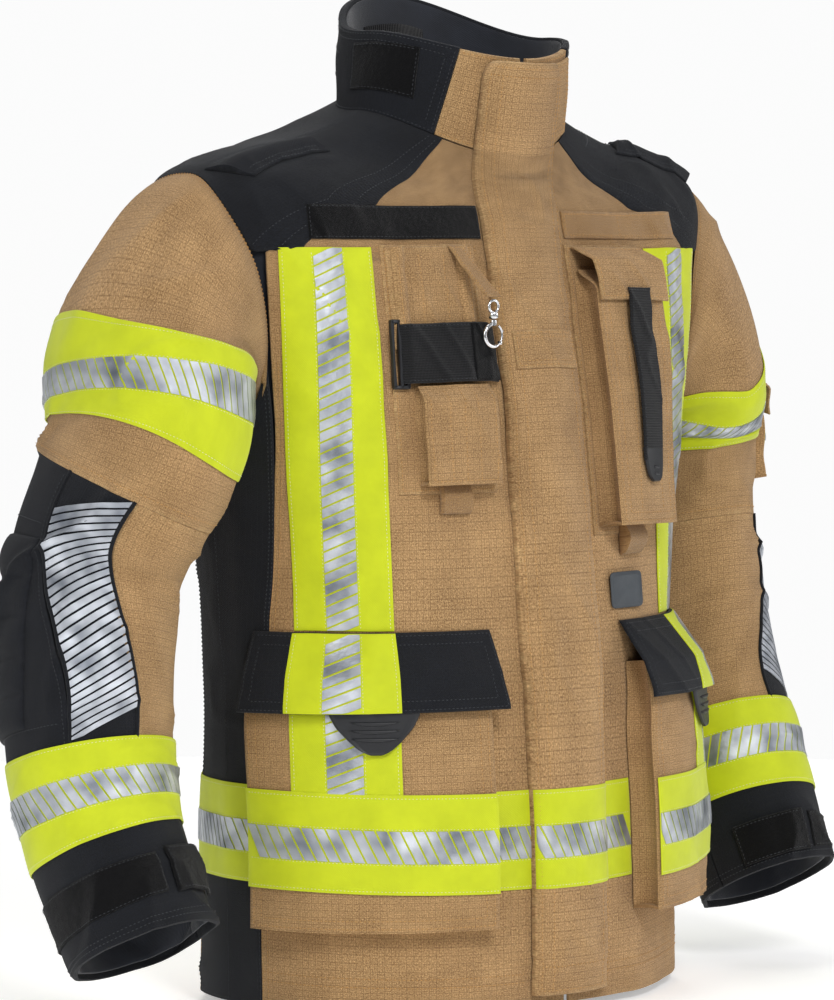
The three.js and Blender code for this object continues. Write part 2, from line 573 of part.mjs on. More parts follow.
// ---- right chest --------------------------------------------------------------------------
const TOOL_POCKET = { inner: 58, outer: 112, bottom: 402, top: 474, depth: 19 };
const toolBag = sheet(body, girthBox(-TOOL_POCKET.inner, -TOOL_POCKET.outer, TOOL_POCKET.bottom,
  TOOL_POCKET.top),
  LAY, TOOL_POCKET.depth, 4, 4);
const toolCavity = sheet(body, girthBox(-TOOL_POCKET.inner - WALL, -TOOL_POCKET.outer + WALL,
  TOOL_POCKET.bottom + WALL, TOOL_POCKET.top + 15), LAY + WALL, TOOL_POCKET.depth - WALL, 4, 4);
add('tool_pocket', cut(toolBag, toolCavity), 'tan');

const STRAP_TOP = 522;
const STRAP_BOTTOM = 478;
const STRAP_SEWN = 43;
const STRAP_END = 119;
const STRAP_RISE = 11;            // room behind the strap for a tool
const strapRise = (u) => LAY + STRAP_RISE * Math.min(1, 7 * u, 14 * (1.01 - u));
add('tool_strap', sheet(body, girthBox(-STRAP_SEWN, -STRAP_END, STRAP_BOTTOM, STRAP_TOP),
  (u) => strapRise(u), (u) => strapRise(u) + 1.8, 12, 1), 'webbing');

// Rectangular buckle with two slots, standing beside the strap's free end.
const BUCKLE = { girth: 128, width: 14, height: 52, thick: 4, bar: 2.4 };
function rectangle(width, height, x = 0) {
  return new THREE.Shape([[-1, -1], [1, -1], [1, 1], [-1, 1]].map(
    ([i, j]) => new THREE.Vector2(x + i * width / 2, j * height / 2)));
}
const slotWidth = (BUCKLE.width - 3 * BUCKLE.bar) / 2;
const BUCKLE_PLACE = [-BUCKLE.girth, (STRAP_TOP + STRAP_BOTTOM) / 2];
const BUCKLE_BASE = 3.2;
const buckleSlot = (end) => flatPiece(rectangle(slotWidth, BUCKLE.height - 2 * BUCKLE.bar,
  end * (slotWidth + BUCKLE.bar) / 2), BUCKLE.thick + 2, ...BUCKLE_PLACE, BUCKLE_BASE - 1);
add('strap_buckle', cut(flatPiece(rectangle(BUCKLE.width, BUCKLE.height), BUCKLE.thick, ...BUCKLE_PLACE,
  BUCKLE_BASE), buckleSlot(-1), buckleSlot(1)), 'rubber');

// Snap hook on a strap: the strap leans out over the tool pocket, the hook hangs from its end.
const HOOK_GIRTH = 60;
const HOOK_TOP = 534;
const HOOK_OUT = 30;
const hookStrapPlace = inside(
  (t) => byHeight(-lerp(HOOK_GIRTH - 7, HOOK_GIRTH + 7, t), HOOK_TOP + 3),
  (t) => byHeight(-lerp(64, 78, t), CHEST_SEAM - 1),
  (t) => byHeight(-lerp(HOOK_GIRTH - 7, 64, t), lerp(HOOK_TOP + 3, CHEST_SEAM - 1, t)),
  (t) => byHeight(-lerp(HOOK_GIRTH + 7, 78, t), lerp(HOOK_TOP + 3, CHEST_SEAM - 1, t)));
add('hook_strap', sheet(body, hookStrapPlace, (u, v) => 2 * LAY + TAPE + (HOOK_OUT - 4.8) * (1 - v),
  (u, v) => 2 * LAY + TAPE + 1.6 + (HOOK_OUT - 4.8) * (1 - v), 2, 5), 'tan');

const hookPlace = byHeight(-HOOK_GIRTH, HOOK_TOP);
const hookCentre = body(...hookPlace, HOOK_OUT);
const ring = (radius, wire, x, z, start, sweep) => {
  const curve = new THREE.CatmullRomCurve3(Array.from({ length: 13 }, (_, k) => {
    const turn = rad(start + (sweep * k) / 12);
    return vec(x + radius * Math.cos(turn), 0, z + radius * Math.sin(turn));
  }));
  const section = new THREE.Shape().absarc(0, 0, wire, 0, 2 * Math.PI);
  return bend(new THREE.ExtrudeGeometry(section, { steps: 12, extrudePath: curve, curveSegments: 3,
    bevelEnabled: false }), (a, b, c) => vec(hookCentre.x + a, hookCentre.y + b, hookCentre.z + c));
};
const turned = (points, x, z) => bend(
  new THREE.LatheGeometry(points.map(([r, h]) => new THREE.Vector2(r, h)), 12),
  (a, b, c) => vec(hookCentre.x + x + a, hookCentre.y + c, hookCentre.z + z + b));
add('hook_swivel', joined(
  ring(4.6, 1, 0, -4, -80, 340),
  turned([[0, -13.6], [3.6, -13.6], [3.6, -8], [0, -8]], 0, 0),
), 'chrome');
const SNAP_DROP = -24;
add('snap_hook', joined(
  turned([[0, -18], [2.4, -18], [2.4, -14], [0, -14]], 0, 0),
  ring(SNAP_RADIUS, 1.3, 0, SNAP_DROP - 1.6, 80, 230),
), 'chrome');
const GATE = [-41, 97];           // where the gate starts on the hook's ring and how far it turns
add('snap_gate', ring(SNAP_RADIUS, 0.7, 0, SNAP_DROP - 1.6, ...GATE), 'chrome');

// ---- left chest ---------------------------------------------------------------------------
const RADIO = { inner: 52, outer: 127, bottom: 366, top: 556, depth: 34 };
const radioBag = sheet(body, girthBox(RADIO.inner, RADIO.outer, RADIO.bottom, RADIO.top), LAY,
  RADIO.depth, 4, 5);
const radioCavity = sheet(body, girthBox(RADIO.inner + WALL, RADIO.outer - WALL, RADIO.bottom + WALL,
  RADIO.top + 20),
  LAY + WALL, RADIO.depth - WALL, 4, 5);
add('radio_pocket', cut(radioBag, radioCavity), 'tan');
const RADIO_FLAP_TOP = 580;
const radioFlapHeight = edge([[535], [550], [566], [RADIO_FLAP_TOP]]);
const radioFlapDepth = edge([[RADIO.depth + 1], [RADIO.depth + 1], [RADIO.depth], [LAY]]);
add('radio_flap', sheet(body, (u, v) => byHeight(lerp(RADIO.inner - 1, RADIO.outer + 1, u),
  radioFlapHeight(v)[0]),
  (u, v) => radioFlapDepth(v)[0], (u, v) => radioFlapDepth(v)[0] + FLAP_THICK + 1.4 * v, 4, 3), 'tan');
const RADIO_STRAP = { inner: 77, outer: 102, top: 542, bottom: 420, tab: 398 };
const strapBase = RADIO.depth + 1 + FLAP_THICK + TOUCH;
add('radio_strap', joined(
  sheet(body, girthBox(RADIO_STRAP.inner, RADIO_STRAP.outer, RADIO_STRAP.bottom, RADIO_STRAP.top),
    strapBase, strapBase + 2, 2, 4),
  sheet(body, (u, v) => byHeight(lerp(RADIO_STRAP.inner, RADIO_STRAP.outer, 0.5 + (u - 0.5) * lerp(0.5,
    1, v)),
    lerp(RADIO_STRAP.tab, RADIO_STRAP.bottom + 3, v)), strapBase, strapBase + 2, 2, 2),
), 'rubber');

add('badge', flatPiece(rectangle(42, 28), 1.4, 79, 317, 2), 'grey');

// ---- hook-and-loop tapes and the tool pocket's backing --------------------------------------
add('name_tape', sheet(body, girthBox(-40, -193, 586, 611), LAY, LAY + TAPE, 10, 2), 'webbing');
add('collar_tape', sheet(collar, angleBox(-97, -55, 0.28, 0.84), LAY, LAY + TAPE, 6, 2), 'webbing');
add('tool_panel', sheet(body, girthBox(-56, -130, 503.5, CHEST_SEAM - 1), LAY, LAY + TAPE, 3, 3), 'tan');

// ---- sleeves ------------------------------------------------------------------------------
const SLEEVE_WALL = 3;
const HEAD_END = 0.235;           // where the flexible sleeve head meets the rest of the sleeve
const JOIN = 0.003;
const headStart = (turn) => 0.085 - 0.055 * Math.max(0, Math.sin(rad(turn)));
const ELBOW_PAD = 6;              // how far the padded elbow stands out
for (const [name] of SIDES) {
  const surface = sleeveSurface(name);
  const places = SLEEVE_PLACES[name];
  add(`sleeve_head_${name}`, band(surface, headStart, HEAD_END - JOIN, -SLEEVE_WALL, 0, 16, 6), 'tan');
  add(`sleeve_${name}`, band(surface, HEAD_END + JOIN, places.elbow - JOIN, -SLEEVE_WALL, 0, 16, 5),
    'tan');
  const split = Math.max(places.band[0] + 0.01, HEAD_END + 6 * JOIN);
  add(`upper_band_${name}`, band(surface, split, places.band[1] + 0.01, LAY + 0.9, LAY + 0.9 + TAPE,
    16, 5), 'yellow');
  const lower = places.lower[0] + 0.02;
  // The forearm: tan inside, dark over the elbow and a reflective strip between them.
  const arc = (t0, t1, s0, s1, nu, nv, inner = -SLEEVE_WALL, outer = 0) => sheet(surface,
    (u, v) => [lerp(valueAt(t0, v), valueAt(t1, v), u), lerp(s0, s1, v)], inner, outer, nu, nv);
  const tanEdge = (v) => lerp(36, 4, v);
  const reflectiveEdge = (v) => lerp(74, 48, v);
  const start = places.elbow + JOIN;
  const darkEnd = 205;
  add(`forearm_${name}`, arc(darkEnd + 1.6, (v) => 359.5 + tanEdge(v), start, lower, 8, 5), 'tan');
  add(`reflective_panel_${name}`, arc(tanEdge, (v) => reflectiveEdge(v) - 1.4, start, lower, 2, 5),
    'silver');
  const pad = (u, v) => ELBOW_PAD * Math.sin(Math.PI * u) * Math.sin(Math.PI * clamp(v / 0.8, 0, 1));
  add(`elbow_panel_${name}`, arc(reflectiveEdge, darkEnd, start, lower, 7, 6, -SLEEVE_WALL, pad),
    'black');
  add(`lower_band_${name}`, band(surface, places.lower[0], places.lower[1], LAY, LAY + TAPE, 16, 3),
    'yellow');
  add(`cuff_${name}`, band(surface, lower + 2 * JOIN, 1, -SLEEVE_WALL, 0, 16, 4), 'black');
  add(`cuff_strap_${name}`, arc(-62, 0, places.lower[1] + 0.045, places.lower[1] + 0.1, 5, 1, 1.2,
    3.6), 'webbing');
}

// Small pocket on the left upper arm, with its flap.
const ARM_POCKET = { from: 64, to: 118, bottom: 0.43, depth: 21 };
const leftSleeve = sleeveSurface('left');
const ARM_BASE = TAPE + LAY + 2;
const armBox = (t0, t1, s0, s1) => (u, v) => [lerp(t0, t1, u), lerp(s0, s1, v)];
const armBag = sheet(leftSleeve, armBox(ARM_POCKET.from, ARM_POCKET.to, 0.288, ARM_POCKET.bottom),
  ARM_BASE, ARM_POCKET.depth, 4, 4);
const armCavity = sheet(leftSleeve, armBox(ARM_POCKET.from + 3, ARM_POCKET.to - 3, 0.26,
  ARM_POCKET.bottom - 0.006),
  ARM_BASE + WALL, ARM_POCKET.depth - WALL, 4, 4);
add('arm_pocket', cut(armBag, armCavity), 'tan');
add('arm_pocket_flap', sheet(leftSleeve, armBox(ARM_POCKET.from - 3, ARM_POCKET.to + 3,
  HEAD_END + 0.004, 0.33),
  (u, v) => ARM_BASE + (ARM_POCKET.depth + 1 - ARM_BASE) * Math.min(1, v * 3.2),
  (u, v) => ARM_BASE + FLAP_THICK + (ARM_POCKET.depth + 1 - ARM_BASE) * Math.min(1, v * 3.2), 4, 4),
    'tan');

const scene = new THREE.Group();
scene.add(coat);
export default scene;
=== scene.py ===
"""Firefighter's turnout coat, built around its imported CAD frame. Surfaces are worked out in
millimetres above the hem, as in the CAD, then moved to the row frame in metres."""
import math
import bpy
import numpy as np
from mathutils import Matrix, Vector


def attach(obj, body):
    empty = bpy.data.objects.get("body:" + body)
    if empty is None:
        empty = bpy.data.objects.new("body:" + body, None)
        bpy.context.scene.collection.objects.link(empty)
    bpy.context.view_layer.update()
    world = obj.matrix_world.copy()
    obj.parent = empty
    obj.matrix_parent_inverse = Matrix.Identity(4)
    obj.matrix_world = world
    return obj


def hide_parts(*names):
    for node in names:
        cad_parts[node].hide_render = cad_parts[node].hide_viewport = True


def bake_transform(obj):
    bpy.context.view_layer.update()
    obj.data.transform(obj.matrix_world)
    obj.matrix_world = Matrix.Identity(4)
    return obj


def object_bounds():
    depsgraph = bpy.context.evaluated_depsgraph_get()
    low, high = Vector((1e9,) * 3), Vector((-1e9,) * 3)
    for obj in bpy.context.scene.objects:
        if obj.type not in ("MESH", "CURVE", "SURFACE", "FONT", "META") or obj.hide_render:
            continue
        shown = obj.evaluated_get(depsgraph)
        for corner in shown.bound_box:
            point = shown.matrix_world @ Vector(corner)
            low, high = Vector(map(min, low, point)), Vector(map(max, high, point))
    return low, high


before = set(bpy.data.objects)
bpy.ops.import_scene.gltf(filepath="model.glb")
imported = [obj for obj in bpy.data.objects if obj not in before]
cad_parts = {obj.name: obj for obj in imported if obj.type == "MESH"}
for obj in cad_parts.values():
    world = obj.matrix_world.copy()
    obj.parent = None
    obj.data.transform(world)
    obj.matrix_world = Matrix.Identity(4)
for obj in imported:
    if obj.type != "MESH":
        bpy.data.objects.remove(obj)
cad_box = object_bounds()

ORIGIN = np.array([0.0, -24.0, 677.0])
SIDES = (("right", -1), ("left", 1))
NECK = 8

# ---- surfaces, the same ones as the CAD ----
BODY = np.array([
    [6, 8, 4, 199, 158, 130, 0, 2.3], [100, 106, 104, 199, 156, 128, 0, 2.3],
    [240, 243, 242, 199, 148, 124, 0, 2.3], [370, 370, 370, 210, 136, 124, 0, 2.3],
    [460, 460, 460, 228, 124, 126, 0, 2.4], [545, 560, 560, 250, 108, 124, 0, 2.5],
    [602, 632, 626, 250, 92, 108, -4, 2.4], [632, 664, 676, 150, 76, 90, -14, 2.2],
    [650, 684, 704, 97, 71, 76, -24, 2.0]], float)
SLEEVES = {
    -1: np.array([[-230, 4, 560, 100, 88], [-274, 0, 505, 68, 92], [-292, -12, 435, 62, 90],
                  [-322, 6, 345, 62, 72], [-341, -6, 240, 60, 66], [-348, -36, 150, 57, 61],
                  [-343, -78, 72, 54, 58]], float),
    1: np.array([[230, 4, 560, 100, 88], [267, 14, 505, 63, 90], [286, 36, 435, 58, 88],
                 [291, 24, 340, 62, 72], [293, 0, 240, 60, 66], [294, -38, 150, 57, 61],
                 [294, -80, 66, 54, 58]], float)}
PLACES = {-1: dict(band=(.175, .32), elbow=.4, lower=(.725, .845)),
          1: dict(band=(.165, .345), elbow=.48, lower=(.76, .878))}


def smooth(x, a, b):
    t = np.clip((np.asarray(x, float) - a) / (b - a), 0, 1)
    return t * t * (3 - 2 * t)


def lattice(p, seed):
    q = p.astype(np.int64)
    h = q[..., 0] * 374761393 + q[..., 1] * 668265263 + q[..., 2] * 92837111 + seed * 1274126177
    h &= 0x7fffffff
    h = ((h ^ (h >> 13)) * 1274126177) & 0x7fffffff
    return (h ^ (h >> 16)) / 0x3fffffff - 1.0


def noise(x, y, z, seed=0):
    """Smooth noise from -1 to 1, the same each run."""
    p = np.stack(np.broadcast_arrays(x, y, z), -1).astype(float)
    i = np.floor(p)
    f = p - i
    f = f * f * f * (f * (f * 6 - 15) + 10)
    total = 0
    for k in range(8):
        o = np.array([k & 1, k >> 1 & 1, k >> 2])
        total = total + np.prod(np.where(o, f, 1 - f), -1) * lattice(i + o, seed)
    return total


def spline(rows, at):
    t = np.clip(np.asarray(at, float), 0, len(rows) - 1 - 1e-9)
    i = np.floor(t).astype(int)
    f = (t - i)[..., None]
    a, b, c, d = (rows[np.clip(i + k, 0, len(rows) - 1)] for k in (-1, 0, 1, 2))
    return .5 * (2 * b + (c - a) * f + (2 * a - 5 * b + 4 * c - d) * f * f + (3 * b - a - 3 * c + d) * f ** 3)


def signed_power(x, p):
    return np.sign(x) * np.abs(x) ** p


def body_point(angle, section):
    zf, zs, zb, half, fd, bd, y, sq = np.moveaxis(spline(BODY, section), -1, 0)
    s, c = np.sin(np.radians(angle)), np.cos(np.radians(angle))
    return np.stack([half * signed_power(s, 2 / sq), y - np.where(c > 0, fd, bd) * signed_power(c, 2 / sq),
                     zf * np.maximum(c, 0) ** 2 + zs * s * s + zb * np.maximum(-c, 0) ** 2], -1)


def body_wrinkle(angle, section, p):
    """Soft folds of the body cloth, in millimetres, none at the neck seam and the arm openings."""
    turn = (np.asarray(angle, float) + 180) % 360 - 180
    ring = np.hypot((np.abs(turn) - 90) / 30, (section - 4.9) / 1.15)
    calm = smooth(ring, 1.0, 1.5) * (1 - smooth(section, 7.2, 7.9))
    x, y, z = np.moveaxis(p, -1, 0)
    drape = noise(x / 62, y / 62, z / 170, 3) * 3.2 + noise(x / 28, y / 28, z / 70, 5) * 1.8
    slant = noise((x + .6 * z) / 26, y / 40, (z - .6 * x) / 80, 9)
    crease = np.maximum(0, 1 - 3.2 * np.abs(slant)) * 2.0
    return calm * (drape + crease * smooth(noise(x / 90, y / 90, z / 90, 11), -.2, .5))


def as_arrays(*values):
    return np.broadcast_arrays(*(np.asarray(x, float) for x in values))


def offset_surface(point, a, b, off, da, db, flip, wrinkle):
    a, b, off = as_arrays(a, b, off)
    along = point(a + da, b) - point(a - da, b)
    up = point(a, b + db) - point(a, b - db)
    n = np.cross(along, up) * flip
    n /= np.maximum(np.linalg.norm(n, axis=-1, keepdims=True), 1e-9)
    p = point(a, b)
    return p + n * (off + wrinkle(a, b, p))[..., None]


def body(angle, section, off=0.):
    return offset_surface(body_point, angle, np.clip(section, .02, NECK - .02), off, .5, .02, 1, body_wrinkle)


def collar(angle, h, off=0.):
    angle, h, off = as_arrays(angle, h, off)
    s, c = np.sin(np.radians(angle)), np.cos(np.radians(angle))
    top = np.stack([94 * s, -32 - np.where(c > 0, 74, 92) * c,
                    725 * np.maximum(c, 0) ** 2 + 745 * s * s + 780 * np.maximum(-c, 0) ** 2], -1)
    base = body_point(angle, np.full(angle.shape, float(NECK)))
    p = base + (top - base) * h[..., None]
    turn = (angle + 180) % 360 - 180
    w = noise(turn / 26, h * 2.2, 0, 21) * 1.5 * smooth(h, 0, .5)
    return p + np.stack([s, -c, 0 * s], -1) * (off + w)[..., None]


def front(angle, section, off=0.):
    angle, section, off = as_arrays(angle, section, off)
    s, c = np.sin(np.radians(angle)), np.cos(np.radians(angle))
    low = body(angle, section, off)
    radial = body_point(angle, np.minimum(section, NECK)) + np.stack([s, -c, 0 * s], -1) * off[..., None]
    share = (np.clip(section - NECK + .5, 0, .5) * 2)[..., None]
    high = collar(angle, np.maximum(section - NECK, 0), off)
    return np.where((section < NECK)[..., None], low * (1 - share) + radial * share, high)


def sleeve_wrinkle(side):
    def wrinkle(turn, place, p):
        c, s = np.cos(np.radians(turn)), np.sin(np.radians(turn))
        k = 40 + side * 7
        inner = np.clip(.5 - .5 * np.cos(np.radians(turn + 60)), 0, 1)
        crook = np.exp(-((place - .45) / .13) ** 2)
        arm = np.exp(-((place - .14) / .09) ** 2)
        low = smooth(place, .84, .95)
        fold = noise(c * 1.1 + k, s * 1.1, place * 13 + c * .9, 31)
        crest = np.maximum(0, 1 - 2.4 * np.abs(fold)) ** 1.5
        broad = noise(c * .8 + k, s * .8, place * 6, 33)
        fine = noise(c * 2.3 + k, s * 2.3, place * 26 + c * 2, 37)
        size = 2.2 + 6.5 * crook * (.3 + .7 * inner) + 3.4 * arm + 2.2 * low
        calm = smooth(place, .02, .12) * (1 - np.clip(-c, 0, 1) * (1 - smooth(place, .2, .35)))
        return calm * (size * (crest - .35) * .8 + broad * (2.8 + crook) + fine * .9)
    return wrinkle


def sleeve_point(side):
    rows = SLEEVES[side]
    last = len(rows) - 1

    def point(turn, place):
        place = np.clip(place, 0, 1)
        r = spline(rows, place * last)
        ahead, behind = np.minimum(place * last + .02, last), np.maximum(place * last - .02, 0)
        d = (spline(rows, ahead) - spline(rows, behind))[..., :3]
        d /= np.linalg.norm(d, axis=-1, keepdims=True)
        f = np.array([0, -1., 0]) - d * (-d[..., 1:2])
        f /= np.linalg.norm(f, axis=-1, keepdims=True)
        o = np.cross(f, d)
        o = o * np.where((o @ np.array([side, 0, .6]))[..., None] < 0, -1, 1)
        c, s = np.cos(np.radians(turn))[..., None], np.sin(np.radians(turn))[..., None]
        tube = r[..., :3] + f * c * r[..., 4:5] + o * s * r[..., 3:4]
        ring = body_point(side * (90 - 30 * c[..., 0]), 4.9 + 1.15 * s[..., 0])
        share = np.clip(1 - place / (.2 + .16 * np.maximum(0, -s[..., 0])), 0, 1)
        share = (share * share * (3 - 2 * share))[..., None]
        return tube * (1 - share) + ring * share
    return point


def make_sleeve(side):
    point, wrinkle = sleeve_point(side), sleeve_wrinkle(side)
    return lambda t, s, off=0.: offset_surface(point, t, s, off, 1, .005, -side, wrinkle)


SLEEVE = {side: make_sleeve(side) for _, side in SIDES}

# Tables that turn girths and heights into angles and section numbers.
GIRTH_STEP = HEIGHT_STEP = 2.
SECTION_COUNT = 160


def make_tables():
    sections = np.linspace(0, NECK, SECTION_COUNT + 1)
    angles = np.linspace(0, 180, 181)
    girths, heights = np.arange(0, 700, GIRTH_STEP), np.arange(0, 660, HEIGHT_STEP)
    rings = body_point(angles[None, :], sections[:, None])
    steps = np.linalg.norm(np.diff(rings, axis=1), axis=-1)
    lengths = np.concatenate([np.zeros((len(sections), 1)), np.cumsum(steps, 1)], 1)
    angle_of = np.array([np.interp(girths, ring, angles) for ring in lengths])
    height_of = [body_point(angle_of[:, k], sections)[:, 2] for k in range(len(girths))]
    return angle_of, np.array([np.interp(heights, row, sections) for row in height_of])


ANGLE_OF, SECTION_OF = make_tables()


def table(grid, i, j):
    i = np.clip(i, 0, grid.shape[0] - 1.001)
    j = np.clip(j, 0, grid.shape[1] - 1.001)
    a, b = i.astype(int), j.astype(int)
    f, g = i - a, j - b
    return ((grid[a, b] * (1 - g) + grid[a, b + 1] * g) * (1 - f)
            + (grid[a + 1, b] * (1 - g) + grid[a + 1, b + 1] * g) * f)


def angle_at(girth, section):
    girth, section = as_arrays(girth, section)
    return np.sign(girth) * table(ANGLE_OF, section / NECK * SECTION_COUNT, np.abs(girth) / GIRTH_STEP)


def by_height(girth, height):
    girth, height = as_arrays(girth, height)
    section = table(SECTION_OF, np.abs(girth) / GIRTH_STEP, height / HEIGHT_STEP)
    return angle_at(girth, section), section


def lerp(a, b, t):
    return a + (b - a) * t


def girth_box(g0, g1, z0, z1):
    return lambda u, v: by_height(lerp(g0, g1, u), lerp(z0, z1, v))


def section_box(g0, g1, s0, s1):
    return lambda u, v: (angle_at(lerp(g0, g1, u), lerp(s0, s1, v)), lerp(s0, s1, v) + 0 * u)


def angle_box(a0, a1, b0, b1):
    return lambda u, v: (lerp(a0, a1, u) + 0 * v, lerp(b0, b1, v) + 0 * u)


def upright(g0, g1, z0, z1):
    """As girth_box, with the first share up the body."""
    return lambda u, v: by_height(lerp(g0, g1, v), lerp(z0, z1, u))


def edge(points):
    pts = np.array(points, float)
    k = np.arange(len(pts))
    at = lambda t: np.clip(t, 0, 1) * (len(pts) - 1)
    return lambda t: tuple(np.interp(at(t), k, column) for column in pts.T)


def inside(bottom, top, left, right):
    """A patch between four curves."""
    def place(u, v):
        out = []
        for k in range(2):
            out.append(lerp(bottom(u)[k], top(u)[k], v) + lerp(left(v)[k], right(v)[k], u)
                       - lerp(lerp(bottom(0)[k], bottom(1)[k], u), lerp(top(0)[k], top(1)[k], u), v))
        return out
    return place


def value(x, u, v):
    return x(u, v) if callable(x) else x + 0 * u


# ---- materials ----
def linear(c):
    return c / 255 / 12.92 if c <= 10 else ((c / 255 + .055) / 1.055) ** 2.4


def colour(r, g, b):
    return linear(r), linear(g), linear(b), 1


class Nodes:
    """A material on the cloth UV map, whose unit is a millimetre."""

    def __init__(self, name, rough, **sockets):
        self.m = bpy.data.materials.new(name)
        self.m.use_nodes = True
        self.t = self.m.node_tree
        self.shader = self.t.nodes["Principled BSDF"]
        self.shader.inputs["Roughness"].default_value = rough
        for k, x in sockets.items():
            self.shader.inputs[k.replace("_", " ")].default_value = x
        uv = self.t.nodes.new("ShaderNodeUVMap")
        uv.uv_map = "cloth"
        self.uv = uv.outputs[0]
        xyz = self.node("ShaderNodeSeparateXYZ", self.uv)
        self.x, self.y = xyz.outputs[0], xyz.outputs[1]

    def node(self, kind, *inputs, **props):
        n = self.t.nodes.new(kind)
        for k, x in props.items():
            setattr(n, k, x)
        for i, x in enumerate(inputs):
            self.put(n.inputs[i], x)
        return n

    def put(self, socket, x):
        if isinstance(x, bpy.types.NodeSocket):
            self.t.links.new(x, socket)
        elif x is not None:
            socket.default_value = x

    def math(self, op, a, b=0.0, c=0.0):
        return self.node("ShaderNodeMath", a, b, c, operation=op).outputs[0]

    def total(self, first, *more):
        """The first height plus each (height, amount)."""
        for x, amount in more:
            first = self.math("ADD", first, self.math("MULTIPLY", x, amount))
        return first

    def noise(self, scale, detail=2.0, rough=.5, vector=None):
        n = self.node("ShaderNodeTexNoise")
        self.put(n.inputs["Vector"], vector or self.uv)
        n.inputs["Scale"].default_value = scale
        n.inputs["Detail"].default_value = detail
        n.inputs["Roughness"].default_value = rough
        return n.outputs["Fac"]

    def wave(self, coordinate, pitch):
        return self.math("SINE", self.math("MULTIPLY", coordinate, 2 * math.pi / pitch))

    def stripe(self, coordinate, pitch, width):
        return self.math("LESS_THAN", self.math("WRAP", coordinate, pitch, 0.0), width)

    def mix(self, fac, a, b, blend="MIX"):
        n = self.node("ShaderNodeMix", data_type="RGBA", blend_type=blend)
        self.put(n.inputs[0], fac)
        self.put(n.inputs[6], a)
        self.put(n.inputs[7], b)
        return n.outputs[2]

    def range(self, x, a, b, c=0.0, d=1.0):
        n = self.node("ShaderNodeMapRange")
        for i, y in enumerate((x, a, b, c, d)):
            self.put(n.inputs[i], y)
        return n.outputs[0]

    def finish(self, base, height, strength, distance):
        self.put(self.shader.inputs["Base Color"], base)
        bump = self.node("ShaderNodeBump")
        bump.inputs["Strength"].default_value = strength
        bump.inputs["Distance"].default_value = distance
        self.put(bump.inputs["Height"], height)
        self.put(self.shader.inputs["Normal"], bump.outputs[0])
        return self.m


def cloth_material(name, light, dark, weave=.75, grid=5.2, sheen=.25, rough=.86, grid_depth=.5):
    """Woven cloth: fine weave, ripstop grid, clouded colour that is partly painted shade of wrinkles, lighter
    worn edges.
    """
    n = Nodes(name, rough, Sheen_Weight=sheen, Sheen_Roughness=.5, Specular_IOR_Level=.25)
    threads = n.math("MULTIPLY", n.wave(n.x, weave * 2), n.wave(n.y, weave * 2))
    lines = n.math("MAXIMUM", n.stripe(n.x, grid, .55), n.stripe(n.y, grid, .55))
    grain = n.noise(.85, 4.0, .85)
    # Broad clouds of colour: partly random tone of the cloth, partly painted shade of wrinkles.
    cloud = n.noise(.022, 3.0, .6)
    shade = n.range(n.math("ADD", n.math("MULTIPLY", grain, 1.3), n.math("MULTIPLY", cloud, .3)), .58, 1.02)
    base = n.mix(shade, dark, light)
    fine = n.math("MAXIMUM", n.stripe(n.x, grid / 3, .55), n.stripe(n.y, grid / 3, .55))
    base = n.mix(n.math("MULTIPLY", n.math("ADD", lines, fine), .2), base, dark)
    wear = n.node("ShaderNodeAttribute", attribute_name="wear")
    worn = n.math("MULTIPLY", wear.outputs["Fac"], n.range(n.noise(.16, 3.0, .7), .45, .75, 0.0, .3))
    base = n.mix(worn, base, tuple(min(1, c * 1.55 + .02) for c in light[:3]) + (1,))
    height = n.total(n.math("MULTIPLY", threads, .35), (lines, grid_depth), (grain, 1.6))
    return n.finish(base, height, .8, .0006)


TAN = cloth_material("tan_cloth", colour(226, 184, 130), colour(112, 80, 44), sheen=.12)
BLACK = cloth_material("black_cloth", colour(31, 34, 42), colour(7, 8, 11), sheen=.06)
TAN_WEB = cloth_material("tan_webbing", colour(206, 164, 110), colour(122, 90, 52),
                         weave=1.1, grid=2.2, grid_depth=1.2)


def tape_material():
    # The weak yellow emission is a painted glow that stands in for the fluorescent brightness of the tape.
    n = Nodes("hi_vis_tape", .6, Sheen_Weight=.15, Specular_IOR_Level=.35,
              Emission_Color=colour(200, 215, 6), Emission_Strength=.06)
    threads = n.math("MULTIPLY", n.wave(n.x, 1.3), n.wave(n.y, 1.3))
    cloud = n.noise(.03, 3.0, .6)
    base = n.mix(n.range(cloud, .3, .75), colour(186, 197, 8), colour(206, 217, 14))
    base = n.mix(n.math("MULTIPLY", n.noise(1.3, 2.0), .18), base, colour(170, 190, 8))
    return n.finish(base, n.total(n.math("MULTIPLY", threads, .5), (n.noise(.5), .8)), .4, .0004)


def silver_material():
    n = Nodes("silver_tape", .34, Metallic=.55, Specular_IOR_Level=.6)
    # Dark grey and bright patches are painted reflection and painted crumple shade of the silver film.
    patch = n.range(n.noise(.035, 2.0, .5), .3, .68)
    base = n.mix(patch, colour(112, 118, 128), colour(214, 218, 226))
    dots = n.math("MULTIPLY", n.wave(n.x, 1.0), n.wave(n.y, 1.0))
    return n.finish(base, n.total(n.math("MULTIPLY", n.noise(.12, 3.0), 3.0), (dots, .2)), .5, .0006)


def webbing_material():
    n = Nodes("black_webbing", .75, Sheen_Weight=.1, Specular_IOR_Level=.3)
    rib = n.wave(n.y, 1.9)
    cross = n.wave(n.x, 1.2)
    # Darker in the rib troughs, lighter on the crests: painted shade.
    base = n.mix(n.range(rib, -1, 1), colour(4, 4, 5), colour(24, 24, 27))
    base = n.mix(n.math("MULTIPLY", n.noise(.8, 3.0), .4), base, colour(24, 24, 28))
    return n.finish(base, n.total(rib, (cross, .4)), .8, .0005)


